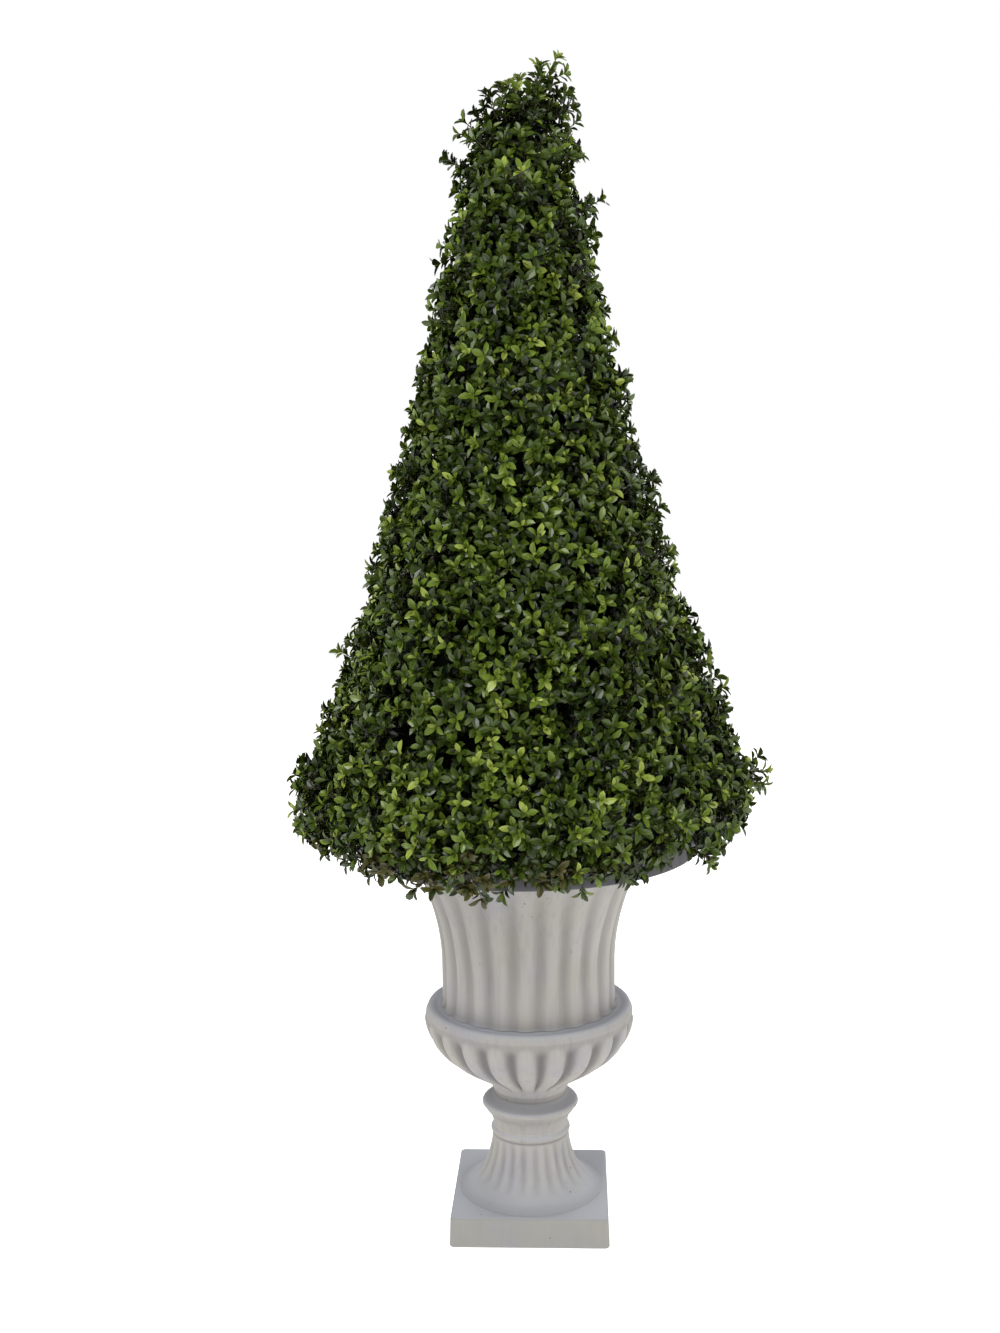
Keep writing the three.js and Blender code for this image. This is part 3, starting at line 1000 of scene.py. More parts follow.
@dataclass
class ConeBase:
    """The round dark base that the cone stands on, and the ballast under it."""

    sides: int = 192
    bore_clearance: float = 0.4
    rim_round: float = 3.0
    rim_foot_round: float = 1.5
    rim_width: float = 7.0
    recess: float = 3.5
    recess_slope: float = 1.0
    seat: float = 134.0
    finish: MouldedPolypropylene = field(default_factory=MouldedPolypropylene)

    def build(self) -> None:
        """Builds the base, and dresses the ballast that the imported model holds."""
        span = Span.of("cone_base")
        bore = Span.of("stem").radius + self.bore_clearance
        edge, foot, slope = self.rim_round, self.rim_foot_round, self.recess_slope
        profile = Profile(bore, span.low).line(self.seat, span.low, 8)
        profile.line(self.seat + slope, span.low + self.recess)
        profile.line(span.radius - self.rim_width, span.low + self.recess, 4)
        profile.line(span.radius - self.rim_width + slope, span.low)
        profile.round((span.radius - foot, span.low + foot), foot, -90, 0, 4)
        profile.line(span.radius, span.high - edge, 5)
        profile.round((span.radius - edge, span.high - edge), edge, 0, 90, 6)
        profile.line(bore, span.high, 16)
        rings, _ = turned(profile.rows(), self.sides)
        piece = solid_piece("cone_base_moulded", rings, capped=False)
        place(piece, self.finish.material(), ("cone_base",))
        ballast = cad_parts["urn_fill"]
        ballast.material_slots[0].material = SettingPlaster().material()


@dataclass
class Stem:
    """The pole through the cone, with the relief of bark on it."""

    sides: int = 48
    tip_radius: float = 5.0
    row_height: float = 6.0
    relief: float = 0.7
    crease: float = 60.0
    finish: Bark = field(default_factory=Bark)

    def grooves(self, angle: Array, height: Array) -> Array:
        """Gives how deep the bark is cut, which is less than nothing on its ridges.

        Args:
            angle: the angle from the front.
            height: the height.

        Returns:
            The depth in millimetres.
        """
        ridges = np.sin(9 * angle + 0.8 * np.sin(height / 23)) * np.sin(height / 17 + 3 * angle)
        return -self.relief * 0.5 * (ridges + np.sin(17 * angle + height / 9) * 0.5)

    def build(self) -> None:
        """Builds and dresses the pole."""
        span = Span.of("stem")
        heights = np.linspace(span.low, span.high, int((span.high - span.low) / self.row_height))
        radii = np.interp(heights, [span.low, span.high], [span.radius, self.tip_radius]) - self.relief
        rings, _ = turned(np.stack([radii, heights], axis=-1), self.sides, self.grooves)
        piece = solid_piece("stem_with_bark", rings, self.crease)
        place(piece, self.finish.material(), ("stem",))


# --------------------------------------------------------------------- foliage


@dataclass(frozen=True)
class Tier:
    """A mass of foliage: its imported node, and the height on the axis at which it starts."""

    node: str
    foot: float


@dataclass(frozen=True)
class Leader:
    """A shoot that stands out of the tip: where it ends, and how young its leaves are."""

    x: float
    y: float
    top: float
    root: float
    youth: float


def unit(vectors: Array) -> Array:
    """Scales vectors to a length of one."""
    return vectors / np.linalg.norm(vectors, axis=-1, keepdims=True)


def crosswise(along: Array) -> tuple[Array, Array]:
    """Gives two directions square to each direction, and to each other.

    Args:
        along: the directions, a unit long.

    Returns:
        The first and the second direction across each.
    """
    helper = np.where(np.abs(along[..., 2:]) < 0.9, UP, np.array([1.0, 0.0, 0.0]))
    side = unit(np.cross(helper, along))
    return side, np.cross(along, side)


def swelling(angle: Array, height: Array) -> Array:
    """Gives the broad swells and hollows of the crown, from -1 to 1."""
    return np.sin(5 * angle + height / 37) * np.cos(3 * angle - height / 23)


@dataclass
class Shoots:
    """Curved twigs, as quadratic curves: where each starts, its handle and where it ends."""

    start: Array
    handle: Array
    end: Array
    youth: Array
    tier: Array

    def at(self, share: Array | float) -> Array:
        """Gives the point at a share of each twig's length."""
        t = np.asarray(share)[..., None]
        return (1 - t) ** 2 * self.start + 2 * t * (1 - t) * self.handle + t**2 * self.end

    def heading(self, share: Array | float) -> Array:
        """Gives the direction in which each twig runs at a share of its length."""
        t = np.asarray(share)[..., None]
        return unit(2 * (1 - t) * (self.handle - self.start) + 2 * t * (self.end - self.handle))


@dataclass
class Leaves:
    """A growing list of leaves."""

    foot: list[Array] = field(default_factory=list)
    along: list[Array] = field(default_factory=list)
    facing: list[Array] = field(default_factory=list)
    length: list[Array] = field(default_factory=list)
    shade: list[Array] = field(default_factory=list)
    tier: list[Array] = field(default_factory=list)

    @property
    def stores(self) -> tuple[list[Array], ...]:
        """The lists, in the order in which a leaf is described."""
        return self.foot, self.along, self.facing, self.length, self.shade, self.tier

    def add(self, *columns: Array) -> None:
        """Adds one leaf to each of a row of twigs.

        Args:
            *columns: the leaves' feet, directions, faces, lengths, shades and tiers.
        """
        for store, column in zip(self.stores, columns, strict=True):
            store.append(column)

    def joined(self) -> tuple[Array, ...]:
        """Gives each list as one array."""
        return tuple(np.concatenate(store) for store in self.stores)


@dataclass(frozen=True)
class Rod:
    """How a twig is made: how many rings of points it has, and its radius at its foot and at its tip."""

    rings: int
    thick: float
    thin: float


@dataclass(frozen=True)
class Seat:
    """How a leaf sits: its place as a share of the twig's length, how far it turns away in radians, its
    length as a share of a full leaf, and the share of the twigs that bear it.
    """

    share: float
    away: float
    size: float
    borne: float


@dataclass
class LeafShape:
    """The moulded outline of a leaf: widest past its middle, folded on its midrib and curling over."""

    width: float = 0.47
    fold: float = 0.56
    curl: float = 0.2
    rows: tuple[tuple[float, float], ...] = ((0.0, 0.0), (0.25, 0.54), (0.57, 1.0), (0.84, 0.72), (1.0, 0.0))

    @property
    def tip(self) -> int:
        """The number of the point at the tip: the foot is 0, and each row between them has three."""
        return 3 * (len(self.rows) - 2) + 1

    def template(self) -> Array:
        """Gives the points of one leaf.

        Returns:
            Points across, along and above a leaf that is a unit long.
        """
        points = []
        for along, share in self.rows:
            half = share * self.width / 2
            for side in (-1, 0, 1) if share else (0,):
                rise = self.fold * abs(side) * half - self.curl * along**2
                points.append((side * half, along, rise))
        return np.array(points)

    def faces(self) -> Array:
        """Gives the faces of one leaf.

        Returns:
            Three point numbers for each triangle.
        """
        lefts = range(1, self.tip, 3)
        made = [(0, 2, 1), (0, 3, 2)]
        for low, high in zip(lefts, lefts[1:]):
            for side in (0, 1):
                a, b, c, d = low + side, low + side + 1, high + side + 1, high + side
                made += [(a, b, c), (a, c, d)]
        last = lefts[-1]
        made += [(last, last + 1, self.tip), (last + 1, last + 2, self.tip)]
        return np.array(made)

    def midrib(self) -> tuple[int, ...]:
        """Gives the points along the fold."""
        return (0, *range(2, self.tip, 3), self.tip)


def triangle_piece(name: str, vertices: Array, faces: Array) -> bpy.types.Object:
    """Makes an object from triangles.

    Args:
        name: the object's name.
        vertices: its points, in millimetres.
        faces: three vertex numbers for each triangle.

    Returns:
        The new object, not yet in the scene.
    """
    mesh = bpy.data.meshes.new(name)
    mesh.vertices.add(len(vertices))
    mesh.vertices.foreach_set("co", (vertices * MM).astype(np.float32).ravel())
    mesh.loops.add(faces.size)
    mesh.loops.foreach_set("vertex_index", faces.astype(np.int32).ravel())
    mesh.polygons.add(len(faces))
    mesh.polygons.foreach_set("loop_start", np.arange(0, faces.size, 3, dtype=np.int32))
    mesh.polygons.foreach_set("use_smooth", np.ones(len(faces), bool))
    mesh.update(calc_edges=True)
    return bpy.data.objects.new(name, mesh)


@dataclass
class Crown:
    """The clipped cone of foliage: sprays of leaves that grow on from a cage round the pole."""

    # the mean outline: where the skirt rolls under, and the reach of the tip, the cone and the skirt
    skirt_height: float = 490.0
    skirt_foot: float = 378.0
    skirt_roll: float = 95.0
    tip_radius: float = 40.0
    taper: float = 152.0
    flare: float = 51.0
    dome: float = 0.05
    swell: float = 4.0
    # how steeply the sprays rise, in radians: up the skirt, on the wall and towards the tip
    skirt_droop: float = -0.85
    skirt_lift: float = 1.1
    wall_rise: float = 0.3
    tip_rise: float = 0.9
    tip_share: float = 0.09
    # how the clipped crown departs from a true cone: it bows and its skirt hangs to one side
    bow: float = -3.0
    bow_height: float = 650.0
    hang: float = -6.0
    hang_drop: float = 10.0
    hang_height: float = 45.0
    # the arching line along which its foot is clipped, and the slanting one along which its top is
    lowest: float = 417.5
    lowest_lean: float = 0.02
    lowest_arch: float = 11.0
    arch_width: float = 200.0
    clip_height: float = 1162.0
    clip_lean: float = 0.5
    clip_ragged: float = 9.0
    cap_sprays: int = 13
    cap_radius: float = 34.0
    # how many sprays are dealt out, how far off the mean outline they end, how far their directions
    # stray, and from how far under the top they thin out
    sprays: int = 1880
    foot_room: float = 8.0
    tip_room: float = 24.0
    inset: float = -16.0
    deepest: float = -23.0
    shaggy: float = 4.5
    shaggier: float = 2.5
    shaggy_height: float = 800.0
    shaggy_run: float = 300.0
    stray_angle: float = 0.3
    stray_share: float = 0.13
    stray_least: float = 8.0
    stray_most: float = 18.0
    thin_height: float = 170.0
    thin_run: float = 100.0
    thin_share: float = 0.36
    # the skirt's fringe, where the sprays are made darker as painted shade under the crown, and more of them
    # are faded
    fringe_top: float = 455.0
    fringe_height: float = 35.0
    faded_sprays: float = 0.38
    faded_leaves: float = 0.75
    # the twigs, with the places of their leaves and forks as shares of their length. Where they end
    # lower than over_base_height, they bend over the round base's rim
    twig_length: float = 56.0
    varied: tuple[float, float] = (0.85, 1.15)
    handle_share: float = 0.45
    over_base_height: float = 440.0
    fork_length: float = 24.0
    fork_away: float = 0.95
    main_pairs: tuple[float, ...] = (0.4, 0.52, 0.63, 0.74, 0.84, 0.93)
    fork_pairs: tuple[float, ...] = (0.45, 0.74)
    forks: tuple[tuple[float, float], ...] = ((0.42, 0.6), (0.58, 3.9))
    main_rod: Rod = Rod(5, 1.1, 0.5)
    side_rod: Rod = Rod(3, 0.7, 0.4)
    # the leaves, how far they stray from their seats in radians, and where they grow smaller
    leaf_length: float = 13.3
    leaf_scatter: float = 0.35
    leaf_nod: float = 0.16
    leaf_twist: float = 0.3
    small_height: float = 1000.0
    small_run: float = 150.0
    # the cage, which keeps inside the round base's rim near its foot
    cage_inset: float = 47.0
    cage_top: float = 1105.0
    cage_least: float = 8.0
    cage_rim: float = 12.0
    cage_free: float = 260.0
    cage_free_heights: tuple[float, float] = (429.0, 470.0)
    cage_rows: int = 90
    cage_sides: int = 96
    cage_swell: float = 3.5
    # how far the tiers' boundaries rise for each millimetre away from the axis
    tier_slope: float = 0.35
    tiers: tuple[Tier, ...] = (
        Tier("foliage_skirt", 429.0),
        Tier("foliage_lower", 466.0),
        Tier("foliage_middle", 631.0),
        Tier("foliage_upper", 797.0),
        Tier("foliage_tip", 967.0),
    )
    leaders: tuple[Leader, ...] = (
        Leader(40, -8, 1217, 1168, 1.4),
        Leader(34, 4, 1206, 1160, 0.9),
        Leader(24, -16, 1196, 1150, 0.3),
        Leader(50, 0, 1184, 1135, 0.1),
        Leader(2, 4, 1200, 1150, 1.4),
        Leader(-8, -14, 1191, 1145, 1.2),
        Leader(12, -26, 1176, 1120, 0.5),
        Leader(-30, -8, 1184, 1130, 0.0),
        Leader(-34, 4, 1174, 1130, 0.0),
        Leader(-53, 0, 1160, 1125, 0.3),
        Leader(-72, -6, 1124, 1092, 0.2),
        Leader(82, -4, 1080, 1052, 0.1),
        Leader(58, 6, 1158, 1120, 0.1),
    )
    leaf: LeafShape = field(default_factory=LeafShape)
    twig_finish: MouldedTwig = field(default_factory=MouldedTwig)
    cage_finish: MouldedCage = field(default_factory=MouldedCage)
    leaves: Leaves = field(default_factory=Leaves, init=False)
    top: float = field(init=False)
    base: Span = field(init=False)
    random: np.random.Generator = field(init=False)

    def __post_init__(self) -> None:
        """Reads the heights from the frame and starts the random draws."""
        self.top = cad_box[1].z / MM
        self.base = Span.of("cone_base")
        self.random = np.random.default_rng(SEED)

    def spread(self, amount: float, count: int) -> Array:
        """Draws numbers from minus to plus an amount."""
        return self.random.uniform(-amount, amount, count)

    def radius_at(self, z: Array) -> Array:
        """Gives the mean reach of the leaf tips from the axis.

        Args:
            z: heights.

        Returns:
            A radius for each height.
        """
        below = np.clip((self.skirt_height - z) / (self.skirt_height - self.skirt_foot), 0, None)
        skirt = self.tip_radius + self.taper + self.flare - self.skirt_roll * below**3
        down = np.clip((self.top - z) / (self.top - self.skirt_height), 0, 1)
        cone = self.tip_radius + self.taper * down + self.flare * down**4
        return np.where(z < self.skirt_height, skirt, cone * np.minimum(1, np.sqrt(down / self.dome)))

    def rise_at(self, z: Array) -> Array:
        """Gives how steeply the sprays rise: down at the skirt's foot, up at the tip.

        Args:
            z: heights.

        Returns:
            An angle in radians for each height.
        """
        skirt_height = self.skirt_height - self.skirt_foot
        skirt = self.skirt_droop + self.skirt_lift * (z - self.skirt_foot) / skirt_height
        down = (self.top - z) / (self.top - self.skirt_height)
        wall = self.wall_rise + self.tip_rise * np.exp(-down / self.tip_share)
        return np.where(z < self.skirt_height, skirt, wall)

    def even_heights(self, shares: Array) -> Array:
        """Gives the heights that share the crown's surface out evenly.

        Args:
            shares: shares of the surface from the foot up, from 0 to 1.

        Returns:
            A height for each share.
        """
        heights = np.linspace(self.lowest - self.foot_room, self.top - self.tip_room, 400)
        radii = self.radius_at(heights)
        runs = np.hypot(np.diff(heights), np.diff(radii)) * radii[1:]
        areas = np.concatenate([[0], np.cumsum(runs)])
        return np.interp(shares, areas / areas[-1], heights)

    def tier_of(self, points: Array) -> Array:
        """Finds the tier that each point lies in.

        Args:
            points: places in the crown.

        Returns:
            The tiers' numbers, in the order of tiers.
        """
        level = points[..., 2] - self.tier_slope * np.hypot(points[..., 0], points[..., 1])
        feet = np.array([tier.foot for tier in self.tiers[1:]])
        return np.searchsorted(feet, level)

    def clear(self, points: Array) -> Array:
        """Tells which points keep off the round base and under the crown's top.

        Args:
            points: places in the crown.

        Returns:
            True for each point that is clear.
        """
        from_axis = np.hypot(points[..., 0], points[..., 1])
        on_base = (points[..., 2] < self.base.high + 1) & (from_axis < self.base.radius + 2)
        return ~on_base & (points[..., 2] < self.top)

    def proud_of(self, azimuth: Array, z: Array) -> Array:
        """Draws how far each spray ends outside the mean reach of the leaf tips.

        Args:
            azimuth: where round the axis each spray grows.
            z: at which height it ends.

        Returns:
            Distances in millimetres, less than nothing for a spray that ends inside.
        """
        ragged = self.shaggy + self.shaggier * np.clip((z - self.shaggy_height) / self.shaggy_run, 0, 1)
        proud = self.random.normal(self.inset, ragged)
        stray = self.random.random(len(z)) < self.stray_share
        proud += np.where(stray, self.random.uniform(self.stray_least, self.stray_most, len(z)), 0.0)
        return np.maximum(proud, self.deepest) + self.swell * swelling(azimuth, z)

    def youth_of(self, azimuth: Array, z: Array) -> Array:
        """Draws how young each spray is, with more faded ones at the skirt's fringe, and the others there
        made older so that they are darker as painted shade under the crown.

        Args:
            azimuth: where round the axis each spray grows.
            z: at which height it ends.

        Returns:
            0 for an old spray to 1 for a young one, and -1 for a faded one.
        """
        youth = self.random.beta(1.6, 1.9, len(z)) + 0.12 * np.sin(7 * azimuth) * np.sin(z / 41)
        # painted shade: sprays at the skirt's fringe count as older, so that their leaves are darker
        youth -= 0.5 * np.clip((self.fringe_top - z) / self.fringe_height, 0, 1)
        faded = (z < self.fringe_top) & (self.random.random(len(z)) < self.faded_sprays)
        return np.where(faded, -1.0, np.clip(youth, 0, 1))

    def kept(self, end: Array, z: Array) -> Array:
        """Tells which sprays are left once the crown is clipped: fewer of them near its tip.

        Args:
            end: where each spray ends.
            z: the height that it was dealt.

        Returns:
            True for each spray that is left.
        """
        arch = self.lowest_arch * (end[:, 0] / self.arch_width) ** 2
        too_low = z < self.lowest + self.lowest_lean * end[:, 0] + arch
        clipped = end[:, 2] > self.clip_height + self.clip_lean * end[:, 0]
        thinned = self.thin_share * np.clip((z - self.top + self.thin_height) / self.thin_run, 0, 1)
        return ~(too_low | clipped | (self.random.random(len(z)) < thinned))

    def place_sprays(self) -> Shoots:
        """Sets the main twig of each spray, evenly over the clipped outline.

        Returns:
            The main twigs, with those of the top and the leaders.
        """
        count = self.sprays
        z = self.even_heights((np.arange(count) + 0.5) / count)
        azimuth = np.arange(count) * GOLDEN_ANGLE + self.spread(0.05, count)
        rise = self.rise_at(z) + self.spread(self.stray_angle, count)
        turn = azimuth + self.spread(self.stray_angle, count)
        outward = np.stack([np.cos(azimuth), np.sin(azimuth), np.zeros(count)], axis=-1)
        heading = np.stack([np.cos(turn) * np.cos(rise), np.sin(turn) * np.cos(rise), np.sin(rise)], axis=-1)
        proud = self.proud_of(azimuth, z)[:, None]
        end = outward * self.radius_at(z)[:, None] + UP * z[:, None] + heading * proud
        end[:, 0] += self.bow * np.sin(math.pi * np.clip((z - self.skirt_height) / self.bow_height, 0, 1))
        hanging = np.clip((self.skirt_height - self.hang_drop - z) / self.hang_height, 0, 1)
        end[:, 0] += self.hang * hanging
        length = (self.twig_length * self.random.uniform(*self.varied, count))[:, None]
        level = unit(outward + UP * np.clip(self.rise_at(z), 0.1, 0.9)[:, None])
        handle = end - heading * (length * self.handle_share)
        start = handle - level * (length * (1 - self.handle_share))
        start[:, 2] = np.maximum(start[:, 2], self.base.high + 4)
        over_base = np.where(z < self.over_base_height, self.base.high + 1, 0)
        handle[:, 2] = np.maximum(handle[:, 2], over_base)
        youth = self.youth_of(azimuth, z)
        keep = self.kept(end, z)
        shoots = Shoots(start[keep], handle[keep], end[keep], youth[keep], self.tier_of(start[keep]))
        return self.with_leaders(shoots)

    def with_leaders(self, shoots: Shoots) -> Shoots:
        """Adds the sprays that close the slanting top, and the shoots that stand out of it.

        Args:
            shoots: the twigs of the crown's wall.

        Returns:
            Those twigs and the new ones.
        """
        number = np.arange(self.cap_sprays)
        reach = self.cap_radius * np.sqrt((number + 0.5) / self.cap_sprays)
        x, y = reach * np.cos(number * GOLDEN_ANGLE), reach * np.sin(number * GOLDEN_ANGLE)
        height = self.clip_height + self.clip_lean * x + self.spread(self.clip_ragged, self.cap_sprays)
        cap_ends = np.stack([x, y, height], axis=-1)
        leader_ends = np.array([(leader.x, leader.y, leader.top - 7) for leader in self.leaders], float)
        ends = np.concatenate([cap_ends, leader_ends])
        root_heights = np.concatenate([height - self.twig_length, [leader.root for leader in self.leaders]])
        roots = np.stack([ends[:, 0] * 0.2, ends[:, 1] * 0.2, root_heights], axis=-1)
        cap_youth = self.random.uniform(0, 1, self.cap_sprays)
        youth = np.concatenate([cap_youth, [leader.youth for leader in self.leaders]])
        return Shoots(
            np.concatenate([shoots.start, roots]),
            np.concatenate([shoots.handle, (roots + ends) / 2 - 6.0 * UP]),
            np.concatenate([shoots.end, ends]),
            np.concatenate([shoots.youth, youth]),
            np.concatenate([shoots.tier, np.full(len(ends), len(self.tiers) - 1)]),
        )

    def shade_of(self, youth: Array, newness_and_exposure: float) -> Array:
        """Deals out a leaf's colour from how young its spray is and how near the tip it sits: the innermost
        leaves get the darkest colours, partly for age and partly as painted shade.

        Args:
            youth: 0 for an old spray to 1 for a young one, and under 0 for a faded one.
            newness_and_exposure: 0 for the innermost leaves to 1 for those at the very tip.

        Returns:
            The number of the shade, in the order of LeafShade.
        """
        mature, newest, faded = (
            list(LeafShade).index(shade) for shade in (LeafShade.MATURE, LeafShade.TIP, LeafShade.FADED)
        )
        # painted shade: leaves deep on the twig take darker colours, for age and for the shade they sit in
        level = -0.75 + 2.1 * youth + 4.1 * newness_and_exposure + self.random.normal(0, 0.6, len(youth))
        number = np.clip(np.round(level), 0, newest).astype(int)
        fades = self.random.random(len(youth)) < self.faded_leaves
        return np.where(youth < 0, np.where(fades, faded, mature), number)

    def add_leaf(self, shoots: Shoots, seat: Seat, about: Array, newness_and_exposure: float) -> None:
        """Adds one leaf to each twig.

        Args:
            shoots: the twigs.
            seat: how the leaf sits.
            about: the angle about the twig at which it leaves.
            newness_and_exposure: 0 for the innermost leaves to 1 for those at the very tip.
        """
        count = len(shoots.start)
        spot = np.clip(seat.share + self.spread(0.02, count), 0, 1)
        foot, heading = shoots.at(spot), shoots.heading(spot)
        side, top = crosswise(heading)
        angle = (about + self.spread(self.leaf_scatter, count))[:, None]
        outward = side * np.cos(angle) + top * np.sin(angle)
        turn = (seat.away + self.random.normal(0, self.leaf_nod, count))[:, None]
        along = heading * np.cos(turn) + outward * np.sin(turn)
        facing = unit(heading * np.sin(turn) - outward * np.cos(turn))
        twist = self.random.normal(0, self.leaf_twist, count)[:, None]
        facing = facing * np.cos(twist) + np.cross(along, facing) * np.sin(twist)
        grown = 0.96 - 0.06 * np.clip((foot[:, 2] - self.small_height) / self.small_run, 0, 1)
        length = self.leaf_length * seat.size * grown * self.random.uniform(*self.varied, count)
        tips = foot + along * length[:, None]
        keep = (self.random.random(count) < seat.borne) & self.clear(tips) & self.clear(foot)
        columns = (foot, along, facing, length, self.shade_of(shoots.youth, newness_and_exposure), shoots.tier)
        self.leaves.add(*(column[keep] for column in columns))

    def leave_pairs(
        self, shoots: Shoots, shares: tuple[float, ...], start: Array, oldest: float, newest: float
    ) -> None:
        """Adds opposite pairs of leaves up each twig, each pair square to the one below.

        Args:
            shoots: the twigs.
            shares: where on the twig each pair sits.
            start: the angle about the twig of the first pair.
            oldest: the newness of the first pair.
            newest: the newness of the last pair.
        """
        for number, share in enumerate(shares):
            done = number / max(1, len(shares) - 1)
            newness_and_exposure = oldest + (newest - oldest) * done
            seat = Seat(share, away=1.05 - 0.25 * done, size=0.94, borne=0.95)
            for half in (0.0, math.pi):
                self.add_leaf(shoots, seat, start + half + number * math.pi / 2, newness_and_exposure)

    def leave_rosette(self, shoots: Shoots, start: Array, newest: float) -> None:
        """Adds the rosette at the end of each twig, with a small young pair in its heart.

        Args:
            shoots: the twigs.
            start: the angle about the twig of the first leaf.
            newest: the newness of the four outer leaves.
        """
        outer = Seat(0.985, away=0.88, size=1.04, borne=0.94)
        heart = Seat(1.0, away=0.4, size=0.7, borne=0.85)
        for quarter in range(4):
            self.add_leaf(shoots, outer, start + quarter * math.pi / 2, newest)
        for half in (0.0, math.pi):
            self.add_leaf(shoots, heart, start + 0.8 + half, newest + 0.18)

    def fork(self, shoots: Shoots, share: float, about: Array) -> Shoots:
        """Gives a side twig to each twig.

        Args:
            shoots: the twigs.
            share: where on the twig it starts.
            about: the angle about the twig at which it leaves.

        Returns:
            The side twigs.
        """
        count = len(shoots.start)
        root, heading = shoots.at(share), shoots.heading(share)
        side, top = crosswise(heading)
        outward = side * np.cos(about)[:, None] + top * np.sin(about)[:, None]
        away = (self.fork_away + self.spread(0.2, count))[:, None]
        leaving = heading * np.cos(away) + outward * np.sin(away)
        arriving = unit(heading + outward * 0.55)
        reach = (self.fork_length * self.random.uniform(0.8, 1.2, count))[:, None]
        handle = root + leaving * reach * 0.5
        aged = np.clip(shoots.youth + self.spread(0.12, count), 0, 1)
        youth = np.where(shoots.youth < 0, -1.0, aged)
        return Shoots(root, handle, handle + arriving * reach * 0.5, youth, shoots.tier)

    def build(self) -> None:
        """Grows the sprays, and makes the pieces of each tier."""
        mains = self.place_sprays()
        start = self.random.uniform(0, 2 * math.pi, len(mains.start))
        self.leave_pairs(mains, self.main_pairs, start, 0.0, 0.5)
        self.leave_rosette(mains, start, 0.72)
        side_twigs = [self.fork(mains, share, start + turn) for share, turn in self.forks]
        for shoots in side_twigs:
            self.leave_pairs(shoots, self.fork_pairs, start, 0.1, 0.4)
            self.leave_rosette(shoots, start + 0.5, 0.62)
        self.build_leaves()
        self.build_twigs(mains, side_twigs)
        self.build_cage()

    def build_leaves(self) -> None:
        """Joins the leaves of each tier and shade into one piece."""
        foot, along, facing, length, shade, tier = self.leaves.joined()
        log.info("%d leaves", len(foot))
        template, triangles = self.leaf.template(), self.leaf.faces()
        across = np.cross(along, facing)
        width = self.random.uniform(0.88, 1.12, len(foot))
        curl = self.random.uniform(0.3, 1.7, len(foot))
        rise = template[:, 2] + self.leaf.curl * template[:, 1] ** 2 * (1 - curl[:, None])
        offsets = (
            across[:, None] * (template[:, 0] * width[:, None])[..., None]
            + along[:, None] * template[None, :, 1, None]
            + facing[:, None] * rise[..., None]
        )
        points = foot[:, None] + offsets * length[:, None, None]
        materials = {
            kind.name.lower(): MouldedLeaf(f"moulded_leaf_{kind.name.lower()}", colour=kind.value).material()
            for kind in LeafShade
        }
        for tier_number, tier_here in enumerate(self.tiers):
            for shade_number, (shade_name, material) in enumerate(materials.items()):
                chosen = points[(tier == tier_number) & (shade == shade_number)]
                if not len(chosen):
                    continue
                steps = np.arange(len(chosen))[:, None, None] * len(template)
                name = f"{tier_here.node}_leaves_{shade_name}"
                piece = triangle_piece(name, chosen.reshape(-1, 3), (triangles + steps).reshape(-1, 3))
                self.crease_midribs(piece.data)
                place(piece, material, (tier_here.node,))

    def crease_midribs(self, mesh: bpy.types.Mesh) -> None:
        """Keeps the fold of every leaf sharp.

        Args:
            mesh: leaves, one after another.
        """
        ends = np.empty(len(mesh.edges) * 2, np.int32)
        mesh.edges.foreach_get("vertices", ends)
        in_leaf = ends.reshape(-1, 2) % (self.leaf.tip + 1)
        mesh.edges.foreach_set("use_edge_sharp", np.isin(in_leaf, self.leaf.midrib()).all(axis=1))

    def build_twigs(self, mains: Shoots, side_twigs: list[Shoots]) -> None:
        """Makes the twigs of each tier as three-sided rods that taper to their tips.

        Args:
            mains: the main twigs.
            side_twigs: the side twigs.
        """
        finish = self.twig_finish.material()
        kinds = [(mains, self.main_rod), *((shoots, self.side_rod) for shoots in side_twigs)]
        for tier_number, tier in enumerate(self.tiers):
            vertices: list[Array] = []
            faces: list[Array] = []
            total = 0
            for shoots, rod in kinds:
                made, pattern = self.rods(shoots, shoots.tier == tier_number, rod)
                vertices.append(made)
                faces.append(pattern + total)
                total += len(made)
            piece = triangle_piece(f"{tier.node}_twigs", np.concatenate(vertices), np.concatenate(faces))
            place(piece, finish, (tier.node,))

    def rods(self, shoots: Shoots, chosen: Array, rod: Rod) -> tuple[Array, Array]:
        """Makes a three-sided rod along each chosen twig.

        Args:
            shoots: the twigs.
            chosen: which of them are made.
            rod: how each is made.

        Returns:
            The vertices and the triangles.
        """
        loops = []
        for share in np.linspace(0, 1, rod.rings):
            centre, heading = shoots.at(share)[chosen], shoots.heading(share)[chosen]
            side, top = crosswise(heading)
            radius = rod.thick + (rod.thin - rod.thick) * share
            for corner in range(3):
                angle = corner * 2 * math.pi / 3
                loops.append(centre + radius * (side * math.cos(angle) + top * math.sin(angle)))
        points = np.stack(loops, axis=1)
        pattern = []
        for ring in range(rod.rings - 1):
            for corner in range(3):
                a, b = ring * 3 + corner, ring * 3 + (corner + 1) % 3
                pattern += [(a, b, b + 3), (a, b + 3, a + 3)]
        last = (rod.rings - 1) * 3
        pattern += [(0, 2, 1), (last, last + 1, last + 2)]
        steps = np.arange(len(points))[:, None, None] * points.shape[1]
        return points.reshape(-1, 3), (np.array(pattern) + steps).reshape(-1, 3)

